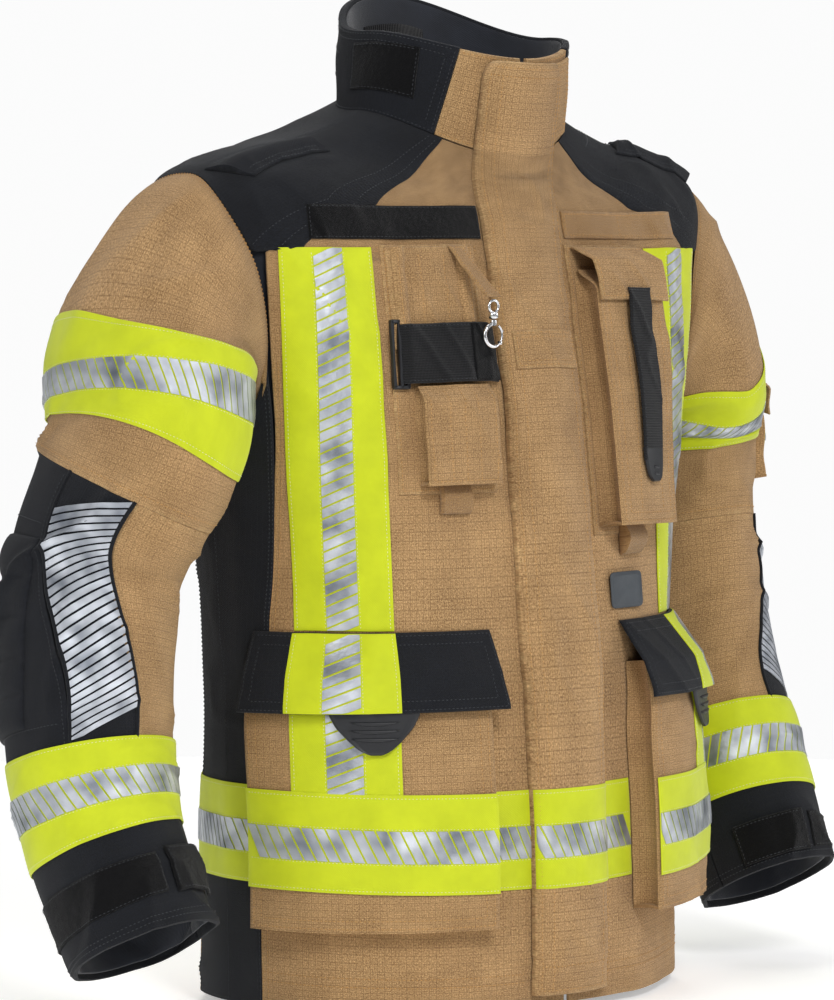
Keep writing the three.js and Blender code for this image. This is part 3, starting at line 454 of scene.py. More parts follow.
def pile_material():
    n = Nodes("hook_pile", .95, Sheen_Weight=.12, Sheen_Roughness=.4, Specular_IOR_Level=.15)
    fuzz = n.noise(1.6, 5.0, .8)
    # Darker where the pile is low, lighter on its raised tufts: painted shade.
    base = n.mix(n.range(fuzz, .35, .7), colour(2, 2, 3), colour(22, 22, 24))
    return n.finish(base, fuzz, 1.0, .0012)


def lining_material():
    n = Nodes("lining", .75, Sheen_Weight=.3, Specular_IOR_Level=.3)
    base = n.mix(n.noise(.05, 3.0), colour(20, 23, 30), colour(38, 42, 52))
    twill = n.wave(n.math("ADD", n.x, n.y), 1.6)
    return n.finish(base, n.math("ADD", twill, n.noise(.7, 3.0)), .35, .0004)


def rubber_material(name, a, b, rough):
    n = Nodes(name, rough, Specular_IOR_Level=.45)
    base = n.mix(n.noise(.12, 4.0, .6), a, b)
    return n.finish(base, n.total(n.noise(2.2, 3.0, .6), (n.noise(.25, 2.0), .6)), .25, .0003)


def metal_material():
    n = Nodes("bright_metal", .14, Metallic=1.0)
    scratch = n.noise(.9, 5.0, .7)
    base = n.mix(n.range(scratch, .35, .7), colour(206, 207, 210), colour(236, 236, 238))
    n.put(n.shader.inputs["Roughness"], n.range(scratch, .3, .75, .09, .3))
    return n.finish(base, scratch, .12, .0002)


def thread_material(name, a, b):
    n = Nodes(name, .7, Sheen_Weight=.2)
    return n.finish(n.mix(n.noise(.35, 2.0), a, b), n.noise(3.0, 2.0), .3, .0002)


TAPE, SILVER, WEB = tape_material(), silver_material(), webbing_material()
PILE, LINING = pile_material(), lining_material()
RUBBER = rubber_material("rubber", colour(24, 25, 28), colour(40, 41, 45), .42)
GREY = rubber_material("badge_rubber", colour(58, 63, 68), colour(74, 79, 85), .55)
METAL = metal_material()
THREAD = {"tan": thread_material("tan_thread", colour(176, 128, 66), colour(206, 158, 92)),
          "white": thread_material("white_thread", colour(196, 205, 150), colour(236, 240, 214)),
          "black": thread_material("black_thread", colour(20, 22, 27), colour(46, 50, 58))}


# ---- pieces ----
def ring_faces(rings, sides):
    """The walls between rings of points, and a cap on each end."""
    k = np.arange(rings * sides).reshape(rings, sides)
    nxt = np.roll(k, -1, 1)
    walls = np.stack([k[:-1], nxt[:-1], nxt[1:], k[1:]], -1).reshape(-1, 4)
    return [tuple(q) for q in walls] + [tuple(k[0, ::-1]), tuple(k[-1])]


def path_length(points):
    return np.linalg.norm(np.diff(points, axis=0), axis=-1).sum()


def measure(surface, place):
    """Width and length of a patch along its middle lines."""
    t = np.linspace(0, 1, 33)
    return path_length(surface(*place(t, t * 0 + .5), 0.)), path_length(surface(*place(t * 0 + .5, t), 0.))


class Piece:
    """One mesh, gathered from sheets, stitches and cords, in millimetres above the hem."""

    def __init__(self, name):
        self.name, self.points, self.uv, self.wear = name, [], [], []
        self.faces, self.kinds, self.materials, self.count = [], [], [], 0

    def add(self, points, faces, material, uv, wear=None):
        points = np.asarray(points, float).reshape(-1, 3)
        if material not in self.materials:
            self.materials.append(material)
        self.points.append(points)
        self.uv.append(np.asarray(uv, float).reshape(-1, 2))
        self.wear.append(np.zeros(len(points)) if wear is None else np.asarray(wear, float).ravel())
        faces = [tuple(int(i) + self.count for i in f) for f in faces]
        self.faces += faces
        self.kinds += [self.materials.index(material)] * len(faces)
        self.count += len(points)

    def solid(self, outer, inner, material, uv, wear=None):
        """A slab between two grids of points of one shape."""
        rows, cols = outer.shape[:2]
        k = np.arange(rows * cols).reshape(rows, cols)
        quad = np.stack([k[:-1, :-1], k[:-1, 1:], k[1:, 1:], k[1:, :-1]], -1).reshape(-1, 4)
        n = rows * cols
        loop = np.concatenate([k[0, :-1], k[:-1, -1], k[-1, :0:-1], k[:0:-1, 0]])
        nxt = np.roll(loop, -1)
        rim = np.stack([loop, loop + n, nxt + n, nxt], -1)
        r, c = rows // 2, cols // 2
        r, c = min(r, rows - 2), min(c, cols - 2)
        normal = np.cross(outer[r, c + 1] - outer[r, c], outer[r + 1, c] - outer[r, c])
        faces = np.concatenate([quad, quad[:, ::-1] + n, rim])
        if normal @ (outer[r, c] - inner[r, c]) < 0:
            faces = faces[:, ::-1]
        uv = np.asarray(uv).reshape(-1, 2)
        wear = np.zeros(n) if wear is None else np.asarray(wear).ravel()
        self.add(np.concatenate([outer.reshape(-1, 3), inner.reshape(-1, 3)]), faces, material,
                 np.concatenate([uv, uv]), np.concatenate([wear, wear]))

    def sheet(self, surface, place, lo, hi, material, step=4., rim=.9, turn_uv=False):
        """Cloth on a surface between two offsets, with softly rounded edges. Gives its width and length."""
        wide, long = measure(surface, place)

        def shares(length):
            e = min(rim / length, .2)
            return np.concatenate([[0], np.linspace(e, 1 - e, max(2, int(length / step) + 1)), [1]])
        su, sv = shares(wide), shares(long)
        u, v = np.meshgrid(su, sv)
        a, b = place(u, v)
        top, low = value(hi, u, v), value(lo, u, v)
        border = np.zeros(u.shape)
        border[0], border[-1], border[:, 0], border[:, -1] = 1, 1, 1, 1
        drop = border * (top - low) * .45
        wear = np.exp(-np.minimum(np.minimum(u, 1 - u) * wide, np.minimum(v, 1 - v) * long) / 2.5)
        x, y = u * wide, v * long
        uv = np.stack([y, x] if turn_uv else [x, y], -1)
        self.solid(surface(a, b, top - drop), surface(a, b, low + drop * .3), material, uv, wear)
        return wide, long

    def stitch(self, surface, place, start, end, off, thread, pitch=3.3, size=.42):
        """A row of stitches along a straight line in the place's two shares."""
        t = np.linspace(0, 1, 160)
        u, v = lerp(start[0], end[0], t), lerp(start[1], end[1], t)
        a, b = place(u, v)
        height = value(off, u, v)
        line = surface(a, b, height)
        above = surface(a, b, height + 1)
        at = np.concatenate([[0], np.cumsum(np.linalg.norm(np.diff(line, axis=0), axis=-1))])
        count = int(at[-1] / pitch)
        if count < 1:
            return
        mid = (np.arange(count) + .5) * pitch
        take = lambda q, arr: np.stack([np.interp(q, at, arr[:, k]) for k in range(3)], -1)
        c, n = take(mid, line), take(mid, above - line)
        d = take(np.minimum(mid + 1, at[-1]), line) - take(np.maximum(mid - 1, 0), line)
        d /= np.linalg.norm(d, axis=-1, keepdims=True)
        n /= np.linalg.norm(n, axis=-1, keepdims=True)
        w = np.cross(n, d)
        half = pitch * .36
        p = np.stack([c - d * half - n * size * .6, c + w * size, c + n * size, c - w * size, c - n * size,
                      c + d * half - n * size * .6], 1)
        one = np.array([[2, 1, 0], [3, 2, 0], [4, 3, 0], [1, 4, 0],
                        [1, 2, 5], [2, 3, 5], [3, 4, 5], [4, 1, 5]])
        faces = (one[None] + np.arange(count)[:, None, None] * 6).reshape(-1, 3)
        self.add(p, faces, THREAD[thread], np.repeat(np.stack([mid, mid * 0], -1), 6, 0))

    def ruled(self, surface, place, off, thread, xs=(), ys=(), span=(0, 1)):
        """Rows of stitches up the patch at each x, or across it at each y."""
        for x in xs:
            self.stitch(surface, place, (x, span[0]), (x, span[1]), off, thread)
        for y in ys:
            self.stitch(surface, place, (span[0], y), (span[1], y), off, thread)

    def seams(self, surface, place, dims, off, thread, inset=(2.5,), sides="lrtb", **more):
        wide, long = dims
        for i in inset:
            x, y = i / wide, i / long
            corner = dict(lb=(x, y), rb=(1 - x, y), lt=(x, 1 - y), rt=(1 - x, 1 - y))
            ends = dict(l=("lb", "lt"), r=("rb", "rt"), b=("lb", "rb"), t=("lt", "rt"))
            for s in sides:
                self.stitch(surface, place, *(corner[c] for c in ends[s]), off, thread, **more)

    def trim(self, surface, place, off, slope=1., gap=1.5, wide_share=(.34, .66), tape=True, pitch=8.2):
        """Hi-vis tape: the first share runs along it. Silver bars lie across its middle third."""
        raised = lambda rise: (lambda u, v: value(off, u, v) + rise)
        if tape:
            size = self.sheet(surface, place, raised(0), raised(.9), TAPE)
            for y in (.035, .325, .675, .965):
                self.stitch(surface, place, (.005, y), (.995, y), raised(.95), "white", pitch=2.8, size=.3)
        else:
            size = measure(surface, place)
        length, width = size
        w = np.linspace(*wide_share, 7)
        lean = (w - .5) * width * .43 * slope
        reach = np.abs(lean).max()
        centres = np.arange(-reach, length + reach, pitch)
        k = np.array([-.5, -.17, .17, .5]) * (pitch - gap)
        along = np.clip(centres[:, None, None] + k[None, :, None] + lean[None, None, :], .6, length - .6)
        keep = (along[:, -1] - along[:, 0]).mean(-1) > 1.2
        along = along[keep]
        across = np.broadcast_to(w, along.shape)
        a, b = place(along / length, across)
        base = value(off, along / length, across) + (1.35 if tape else .9)
        uv = np.stack([along, across * width], -1)
        top, low = surface(a, b, base + .28), surface(a, b, base - .7)
        for i in range(len(along)):
            if (along[i, -1] - along[i, 0]).min() > .15:
                self.solid(top[i], low[i], SILVER, uv[i])
        return size

    def tube(self, line, radius, material, sides=10):
        """A round cord along points in millimetres."""
        line = np.asarray(line, float)
        n = len(line)
        d = np.gradient(line, axis=0)
        d /= np.linalg.norm(d, axis=-1, keepdims=True)
        helper = np.array([0, 1., .13]) if abs(d[:, 1]).mean() < .7 else np.array([1., .1, .2])
        x = np.cross(d, helper)
        x /= np.linalg.norm(x, axis=-1, keepdims=True)
        y = np.cross(d, x)
        r = np.broadcast_to(np.asarray(radius, float), (n,))[:, None, None]
        t = np.linspace(0, 2 * np.pi, sides, endpoint=False)[None, :, None]
        p = line[:, None] + r * (np.cos(t) * x[:, None] + np.sin(t) * y[:, None])
        faces = ring_faces(n, sides)
        at = np.concatenate([[0], np.cumsum(np.linalg.norm(np.diff(line, axis=0), axis=-1))])
        uv = np.stack(np.broadcast_arrays(at[:, None], t[..., 0] * 2), -1)
        self.add(p, faces, material, uv)

    def turned(self, profile, centre, axis, material, sides=24):
        """A solid of revolution: profile of (radius, height) from one end of the axis to the other."""
        axis = np.asarray(axis, float) / np.linalg.norm(axis)
        x = np.cross(axis, [0, 1., 0.1])
        x /= np.linalg.norm(x)
        y = np.cross(axis, x)
        t = np.linspace(0, 2 * np.pi, sides, endpoint=False)[None, :, None]
        r = np.array([q[0] for q in profile])[:, None, None]
        h = np.array([q[1] for q in profile])[:, None, None]
        p = np.asarray(centre) + axis * h + r * (np.cos(t) * x + np.sin(t) * y)
        faces = ring_faces(len(profile), sides)
        uv = np.stack(np.broadcast_arrays(h[..., 0], t[..., 0] * 3), -1)
        self.add(p, faces, material, uv)

    def done(self, part, replaces=(), blend=None):
        mesh = bpy.data.meshes.new(self.name)
        points = (np.concatenate(self.points) - ORIGIN) / 1000
        mesh.from_pydata(points.tolist(), [], self.faces)
        for m in self.materials:
            mesh.materials.append(m)
        mesh.polygons.foreach_set("material_index", self.kinds)
        mesh.polygons.foreach_set("use_smooth", [True] * len(self.faces))
        uv = np.concatenate(self.uv)
        loops = np.empty(len(mesh.loops), int)
        mesh.loops.foreach_get("vertex_index", loops)
        mesh.uv_layers.new(name="cloth").uv.foreach_set("vector", uv[loops].astype(np.float32).ravel())
        wear = mesh.attributes.new("wear", "FLOAT", "POINT")
        wear.data.foreach_set("value", np.concatenate(self.wear).astype(np.float32))
        mesh.update()
        mesh.set_sharp_from_angle(angle=math.radians(55))
        ob = bpy.data.objects.new(self.name, mesh)
        bpy.context.scene.collection.objects.link(ob)
        if blend:
            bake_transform(ob)
        else:
            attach(ob, part)
        if replaces:
            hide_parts(*replaces)
        return ob


def row(p):
    """A point above the hem, in the row frame."""
    return tuple((np.asarray(p, float) - ORIGIN) / 1000)


# ---- body panels ----
ARMHOLE, ARMHOLE_RISE, ARMHOLE_WIDE = 4.9, 1.15, 30     # middle and half size: sections, degrees
YOKE = np.array([[46, 5.36], [37, 5.7], [28, 6.05], [29, 6.7], [34, 7.35], [38, 8]], float)
YOKE_BOTTOM, BACK_SEAM = 5.3, 115


def armhole_front(section):
    s = (section - ARMHOLE) / ARMHOLE_RISE
    return np.where(np.abs(s) < 1, 90 - ARMHOLE_WIDE * np.sqrt(np.maximum(0, 1 - s * s)), 90)


def armhole_bottom(angle):
    return ARMHOLE - ARMHOLE_RISE * np.sqrt(np.maximum(0, 1 - ((angle - 90) / ARMHOLE_WIDE) ** 2))


def side_seam(section):
    return np.minimum(angle_at(257, section), 84) - 14 * smooth(section, 1, 4)


def front_edge(section):
    section = np.asarray(section, float)
    low = np.minimum(side_seam(section), armhole_front(section))
    start = min(side_seam(YOKE_BOTTOM), armhole_front(YOKE_BOTTOM))
    corner = lerp(start, YOKE[0, 0], np.clip((section - YOKE_BOTTOM) / .06, 0, 1))
    high = np.interp(section, YOKE[:, 1], YOKE[:, 0])
    return np.where(section <= YOKE_BOTTOM, low, np.where(section < YOKE[0, 1], corner, high))


for name, side in SIDES:
    def front_place(u, v):
        section = lerp(.03, 7.97, v)
        return side * lerp(angle_at(1.5, section), front_edge(section) + .3, u), section
    p = Piece(f"front_panel_{name}")
    size = p.sheet(body, front_place, -2.6, 0, TAN, 3.6)
    p.ruled(body, front_place, .3, "tan", ys=(.045, .036), span=(.12, .995))
    p.ruled(body, front_place, .3, "tan", xs=(.985, .965), span=(.01, .55))
    p.ruled(body, girth_box(side * 46, side * 260, 577, 580), .25, "tan", ys=(0, 1), span=(0, .78))
    p.done("coat", [f"front_{name}"])

    def side_place(u, v):
        a = lerp(side_seam(lerp(0, 4.0, v)) - .5, BACK_SEAM + .5, u)
        return side * a, lerp(.03, armhole_bottom(a) + .02, v)
    p = Piece(f"side_panel_{name}")
    p.sheet(body, side_place, -2.4, .7, BLACK, 4)
    p.seams(body, side_place, (190, 420), 1.0, "black", (2.5, 8), "lr")
    p.ruled(body, angle_box(side * 92, side * 92, .05, 3.7), 1.0, "black", xs=(0,))
    p.done("coat", [f"side_{name}"])


def back_edge(section):
    return np.maximum(BACK_SEAM, np.where(section > 4.2, 180 - armhole_front(section), 0))


def back_place(u, v):
    section = lerp(.03, YOKE_BOTTOM + .03, v)
    return lerp(back_edge(section), 360 - back_edge(section), u), section


p = Piece("back_shell")
p.sheet(body, back_place, -2.6, 0, TAN, 4.2)
p.ruled(body, back_place, .3, "tan", ys=(.045, .036), span=(.01, .99))
p.ruled(body, back_place, .3, "tan", xs=(.5,), span=(.01, .99))
p.done("coat", ["back_panel"])

YOKE_TOP = 7.99


def yoke_side(t):
    angle, section = edge(YOKE)(t)
    return angle - .5, np.minimum(section, lerp(5.34, YOKE_TOP, t))


low = [[46, 5.34]]
for turn in np.radians(np.arange(18, 163, 6)):
    low.append([90 - ARMHOLE_WIDE * math.cos(turn), ARMHOLE + ARMHOLE_RISE * math.sin(turn)])
low += [[135, YOKE_BOTTOM], [157, YOKE_BOTTOM], [180, YOKE_BOTTOM]]
yoke_low = edge(low + [[360 - a, s] for a, s in low[-2::-1]])
yoke_place = inside(yoke_low, lambda t: (lerp(38, 322, t), YOKE_TOP + 0 * t), yoke_side,
                    lambda t: (360 - yoke_side(t)[0], yoke_side(t)[1]))
p = Piece("yoke")
p.sheet(body, yoke_place, -2.4, .9, BLACK, 3.6)
p.ruled(body, yoke_place, 1.1, "black", xs=(.008, .992, .02, .98), span=(.02, .98))
p.ruled(body, angle_box(52, 308, 7.3, 7.3), 1.1, "black", ys=(0,), span=(0, .25))
for side in (-1, 1):
    shoulder = lambda u, v: (side * lerp(84, 90, v) + 0 * u, lerp(5.98, 7.9, u) + 0 * v)
    p.ruled(body, shoulder, 1.1, "black", ys=(0, .4), span=(.12, 1))
    tab = angle_box(side * 62, side * 82, 6.1, 6.85)
    arched = lambda u, v: 3.0 + 5.5 * np.sin(np.pi * u) ** 2
    p.sheet(body, tab, 1.0, arched, BLACK, 2.5)
    p.ruled(body, tab, lambda u, v: arched(u, v) + .2, "black", xs=(.06, .18, .82, .94), span=(.08, .92))
p.done("coat", ["shoulder_yoke"])


def quilt(u, v):
    x, y = u * 26, v * 16
    return np.minimum(np.abs(np.sin(np.pi * (x + y) / 2)), np.abs(np.sin(np.pi * (x - y) / 2))) ** .5


p = Piece("quilted_liner")
p.sheet(body, angle_box(3, 357, .22, 7.92), lambda u, v: -9.4 - 2.2 * quilt(u, v), -6.4, LINING, 6)
liner = p.done("coat", ["thermal_liner"])

# ---- collar ----
p = Piece("collar_black")
dark = lambda u, v: (lerp(43., 318 + 8 * v, u), lerp(.0, 1, v) + 0 * u)
size = p.sheet(collar, dark, -5, .8, BLACK, 3)
p.seams(collar, dark, size, 1.0, "black", (3, 9), "tlr")
p.seams(collar, dark, size, 1.0, "black", (2.5,), "b")
for y in (.35, .65):
    p.stitch(collar, dark, (.03, y), (.72, y), 1.0, "black", pitch=3.6)
inner = angle_box(48, 312, .06, .96)
p.sheet(collar, inner, -6.2, -4.6, LINING, 4)
p.done("coat", ["collar_shell"])
for name, place in (("left", angle_box(2., 43.6, .0, .985)),
                    ("right", lambda u, v: (lerp(317.6 + 8 * v, 358, u), lerp(.0, .985, v) + 0 * u))):
    p = Piece(f"collar_tan_{name}")
    size = p.sheet(collar, place, -5, 0, TAN, 3)
    p.seams(collar, place, size, .25, "tan", (3,), "tb")
    p.done("coat", [f"collar_front_{name}"])
p = Piece("collar_throat_tab")
place = angle_box(19, 42, .06, .9)
size = p.sheet(collar, place, .6, 3.2, TAN, 2.5)
p.seams(collar, place, size, 3.4, "tan", (3, 8))
p.done("coat")
p = Piece("neck_hanger")
arch = lambda u, v: -4.8 - 9 * np.sin(np.pi * u)
p.sheet(collar, angle_box(160, 200, .52, .68), lambda u, v: arch(u, v) - 1.8, arch, WEB, 2, turn_uv=True)
p.done("coat", ["hanger_loop"])


def pile(name, surface, place, base, part, replaces=(), step=1.3):
    """A patch of hook-and-loop tape with an uneven face."""
    p = Piece(name)
    fuzz = lambda u, v: .35 * noise(u * 137 * 1.1, v * 31 * 1.1, 0, 41)
    size = p.sheet(surface, place, base, lambda u, v: base + 1.3 + fuzz(u, v), PILE, step)
    p.seams(surface, place, size, base + 1.75, "black", (1.6,), size=.35)
    p.done(part, replaces)


patch = lambda u, v: (lerp(-97, -54, u) + 0 * v, lerp(.26, .84, v) + .05 * u)
pile("collar_patch", collar, patch, 1.0, "coat", ["collar_tape"])
pile("name_patch", body, girth_box(-40, -193, 586, 611), .9, "coat", ["name_tape"])

# ---- storm flap over the zip ----
FLAP = 38.                          # half its width
FLAP_SECTIONS = (.18, NECK + .93)
HEM_TRIM = (.98, 1.53)              # sections of its lower and upper edge


def flap_half(v):
    return FLAP - 11 * (1 - np.sqrt(np.clip(1 - ((v - .975) / .025).clip(0, 1) ** 2, 0, 1)))


def flap_place(u, v):
    section = lerp(*FLAP_SECTIONS, v)
    half = flap_half(v)
    return angle_at(lerp(-half, half, u), np.minimum(section, NECK)), section


def flap_top(u, v=0.):
    wavy = .9 * noise(u * 1.3, np.asarray(v) * 11, 0, 51)
    return 3.2 + 13.6 * np.sin(np.pi * np.clip(u, 0, 1)) ** .42 + wavy


hinge = ((.0385, -.107, -.307), (.0265, -.112, -.307))
p = Piece("front_storm_flap")
size = p.sheet(front, flap_place, lambda u, v: flap_top(u, v) - 2.4, flap_top, TAN, 3)
on_top = lambda u, v: flap_top(u, v) + .25
p.ruled(front, flap_place, on_top, "tan", xs=(.05, .16, .84, .95), span=(.006, .985))
p.ruled(front, flap_place, on_top, "tan", ys=(.006, .03, .982, .992), span=(.06, .94))
p.done(("coat", "storm_flap"), ["storm_flap"], hinge)


def on_flap(g0, g1, s0, s1):
    """A patch on the storm flap: its place, and its height for a given lift."""
    def place(u, v):
        section = lerp(s0, s1, v)
        return angle_at(lerp(g0, g1, u), np.minimum(section, NECK)), section + 0 * u

    def off(lift):
        def height(u, v):
            bottom, top = FLAP_SECTIONS
            across = (lerp(g0, g1, u) + FLAP) / (2 * FLAP)
            return flap_top(across, (lerp(s0, s1, v) - bottom) / (top - bottom)) + lift
        return height
    return place, off


p = Piece("flap_patch")
place, off = on_flap(-30, 32, 4.29, 4.62)
size = p.sheet(front, place, off(-.4), off(1.5), TAN, 3)
p.seams(front, place, size, off(1.75), "tan", (2.5, 6))
p.done(("coat", "storm_flap"), ["flap_keeper"], hinge)
p = Piece("flap_trim")
place, off = on_flap(-37.4, 37.4, *HEM_TRIM)
p.trim(front, place, off(-.1), slope=-1)
p.done(("coat", "storm_flap"), (), hinge)

# ---- zip ----
p = Piece("zip_tape")
tape = section_box(-15, 15, .15, 7.75)
p.sheet(body, tape, .3, 1.6, WEB, 4, turn_uv=True)
TOOTH_PITCH = .032                  # in sections
CUBE = np.array([[0, 1, 2, 3], [7, 6, 5, 4], [0, 4, 5, 1], [1, 5, 6, 2], [2, 6, 7, 3], [3, 7, 4, 0]])
for hand in (-1, 1):
    s = np.arange(.2, 7.7, TOOTH_PITCH) + (TOOTH_PITCH / 2 if hand > 0 else 0)
    corners = [body(angle_at(hand * girth, s), s + rise, off) for off in (1.2, 3.4)
               for girth, rise in ((2.6, -.010), (-1.0, -.010), (-1.0, .010), (2.6, .010))]
    cubes = CUBE[None, :, ::hand] + np.arange(len(s))[:, None, None] * 8
    p.add(np.stack(corners, 1), cubes.reshape(-1, 4), METAL, np.zeros((len(s) * 8, 2)))
p.done("coat", ["zip_track"])


def plate(p, place_centre, outline, thick, base, material, bevel=.5):
    """A flat plate with softened edges, lying on the tangent plane of a place."""
    centre = body(*place_centre, base)
    out = body(*place_centre, base + 1.) - centre
    out /= np.linalg.norm(out)
    across = np.array([-out[1], out[0], 0.])
    across /= np.linalg.norm(across)
    up = np.cross(out, across)
    outline = np.asarray(outline, float)
    mid = outline.mean(0)
    rings = []
    for shrink, h in ((bevel, 0), (0, bevel), (0, thick - bevel), (bevel, thick)):
        d = outline - mid
        q = mid + d * (1 - shrink / np.maximum(np.linalg.norm(d, axis=-1, keepdims=True), 1e-6))
        rings.append(centre + q[:, :1] * across + q[:, 1:] * up + h * out)
    pts = np.stack(rings)
    p.add(pts, ring_faces(4, len(outline)), material, np.tile(outline, (4, 1)))
    return lambda x, y, h: centre + x * across + y * up + h * out


def oval(width, height, drop=0., sides=28, power=2.):
    t = np.linspace(0, 2 * np.pi, sides, endpoint=False)
    x, y = np.cos(t), np.sin(t)
    x, y = signed_power(x, 2 / power), signed_power(y, 2 / power)
    return np.stack([x * width / 2, y * height / 2 - drop], -1)


p = Piece("slider")
at = by_height(0, 596)
plate(p, at, oval(12, 17, 0, 32, 3), 3.6, 4.6, METAL, bevel=.9)
to = plate(p, at, oval(7, 34, 12, 32, 3), 1.6, 8.1, METAL)
p.tube([to(x, y, 1.6) for x, y in ((-2, 1.5), (-1.2, 3.6), (0, 4.4), (1.2, 3.6), (2, 1.5))], .8, METAL, 8)
p.done("zip_slider", ["zip_slider"])


# ---- hem pockets ----
FULL = {-1: 17.5, 1: 25.}           # how far each pocket's face stands off the coat
POCKET = dict(inner=75, outer=252, bottom=72, top=262)
FLAP_INNER, FLAP_OUTER, FLAP_BOTTOM, FLAP_TOP = 66, 250, 235, 294
TRIM_INNER, TRIM_OUTER = 142, 217
TAB_CENTRE = 159


def pocket_depth(z, side):
    return FULL[side] - 6 * smooth(z, 220, 266)


def flap_depth(z, side):
    lift = np.clip((FLAP_TOP - z) / 32, 0, 1)
    return 3.9 + (FULL[side] - 1.5) * lift + 7.5 * smooth(POCKET["top"] - z, -4, 27)


def crown(g, z, width, z0, z1):
    """Swell of a pocket's face, in millimetres."""
    return (.8 + 1.6 * np.sin(np.pi * g / width) * np.sin(np.pi * (z - z0) / (z1 - z0))
            * noise(g / 35, z / 35, 0, 61))


def bellows(p, g0, g1, z0, z1, depth, pleat=6., insets=(3.,), base=1.2, step=4.):
    """A pocket that stands off the coat: front face, pleated sides and a closed bottom."""
    s = np.sign(g1 - g0)
    width = abs(g1 - g0)
    wall = 1.8

    def profile(inset):
        g = [0, pleat * .55, pleat, pleat * .55, 0]
        o = [0, .2, .5, .8, .96]
        flat = np.linspace(1.2, width - 1.2, max(4, int(width / step)))
        g = np.array(g + list(flat) + [width - x for x in g[::-1]])
        o = np.array(o + [1.] * len(flat) + o[::-1])
        g = g + inset * np.clip((width / 2 - g) / 3, -1, 1)
        return g, o
    z = np.linspace(z0, z1, max(3, int((z1 - z0) / step)))
    grids = []
    for inset in (0, wall):
        g, o = profile(inset)
        gg, zz = np.meshgrid(g, z)
        oo = np.broadcast_to(o, gg.shape)
        off = base + oo * (depth(zz) - base - inset) + np.where(oo > .99, crown(gg, zz, width, z0, z1), 0)
        grids.append(body(*by_height(g0 + s * gg, zz), off))
    steps = np.linalg.norm(np.diff(grids[0][0], axis=0), axis=-1)
    length = np.concatenate([[0], np.cumsum(steps)])
    p.solid(grids[0], grids[1], TAN, np.stack(np.meshgrid(length, z), -1))
    bottom = []
    for rise in (0, wall):
        g = np.linspace(0, width, max(4, int(width / step)))
        o = np.array([0, .2, .4, .6, .8, .97])
        gg, oo = np.meshgrid(g, o)
        d = depth(np.full(gg.shape, z0 + 1.))
        sag = np.sin(np.pi * oo) * 3
        bottom.append(body(*by_height(g0 + s * gg, z0 + rise + sag * .6), base + oo * (d - base)))
    p.solid(bottom[0], bottom[1], TAN, np.stack(np.meshgrid(g, o * 30), -1))
    inside_g = lambda u: lerp(1.2, width - 1.2, u)
    face = lambda u, v: by_height(g0 + s * inside_g(u), lerp(z0, z1, v))
    off = lambda u, v: depth(lerp(z0, z1, v)) + .25 + crown(inside_g(u), lerp(z0, z1, v), width, z0, z1)
    p.seams(body, face, (width, z1 - z0), off, "tan", insets, "lrb")
    return face, off


def hem_bag(name, side):
    p = Piece(f"hem_bag_{name}")
    bellows(p, side * POCKET["inner"], side * POCKET["outer"], POCKET["bottom"], POCKET["top"],
            lambda z: pocket_depth(z, side), insets=(3., 9.))
    p.done("coat", [f"hem_pocket_{name}"])


def pocket_trims(name, side):
    """The upright and the level band on a hem pocket's face."""
    p = Piece(f"pocket_trims_{name}")
    swell = lambda g, z: crown(g - POCKET["inner"], z, POCKET["outer"] - POCKET["inner"],
                               POCKET["bottom"], POCKET["top"])
    across, up = lambda v: lerp(TRIM_INNER, TRIM_OUTER, v), lambda u: lerp(168, 256, u)
    p.trim(body, upright(side * TRIM_INNER, side * TRIM_OUTER, 168, 256),
           lambda u, v: pocket_depth(up(u), side) + swell(across(v), up(u)) + .2, slope=side)
    p.trim(body, section_box(side * 75.6, side * 251.4, *HEM_TRIM),
           lambda u, v: FULL[side] + swell(lerp(75.6, 251.4, u), lerp(98, 175, v)) + 1.2, slope=-side)
    p.done("coat", [f"pocket_trim_{name}"])


def hem_flap(name, side):
    p = Piece(f"hem_flap_{name}")
    flap = girth_box(side * FLAP_INNER, side * FLAP_OUTER, FLAP_BOTTOM, FLAP_TOP)
    wave = lambda u, v: 1.3 * noise(u * 5, v * 2, side, 71) * (1 - v)
    depth = lambda u, v: flap_depth(lerp(FLAP_BOTTOM, FLAP_TOP, v), side) + wave(u, v)
    size = p.sheet(body, flap, lambda u, v: depth(u, v) - 2.6, depth, BLACK, 3)
    p.seams(body, flap, size, lambda u, v: depth(u, v) + .25, "black", (2.5, 9))
    bend = (row(body(*by_height(side * 160, FLAP_TOP), 1.)), row(body(*by_height(side * 160, 284), 12.)))
    p.done(("coat", f"pocket_flap_{name}"), [f"pocket_flap_{name}"], bend)
    p = Piece(f"flap_strip_{name}")
    share = lambda x, a, b: (x - a) / (b - a)
    on = lambda u, v: depth(share(lerp(TRIM_INNER, TRIM_OUTER, v), FLAP_INNER, FLAP_OUTER),
                            share(lerp(235.5, 293.5, u), FLAP_BOTTOM, FLAP_TOP)) + .1
    p.trim(body, upright(side * TRIM_INNER, side * TRIM_OUTER, 235.5, 293.5), on, slope=side)
    p.done(("coat", f"pocket_flap_{name}"), (), bend)


def rubber_tab(name, side):
    p = Piece(f"rubber_tab_{name}")
    half = lambda v: np.interp(v, [0, .04, .12, .3, .6, .85, 1], [3, 7, 11, 17, 25, 29, 30])
    tab = lambda share, z0, z1: (lambda u, v: by_height(
        side * (TAB_CENTRE + (2 * u - 1) * half(v) * share), lerp(z0, z1, v)))
    rim = lambda u, v: FULL[side] + 6.6 + .5 * (np.abs(2 * u - 1) > .8)
    p.sheet(body, tab(1, 204, 238), FULL[side] + 4.4, rim, RUBBER, 2)
    for rise in (0, 6, 12):
        p.sheet(body, tab(.55, 214 + rise, 217 + rise), FULL[side] + 6.2, FULL[side] + 7.6, RUBBER, 2)
    p.done(f"pocket_flap_{name}", [f"pull_tab_{name}"])


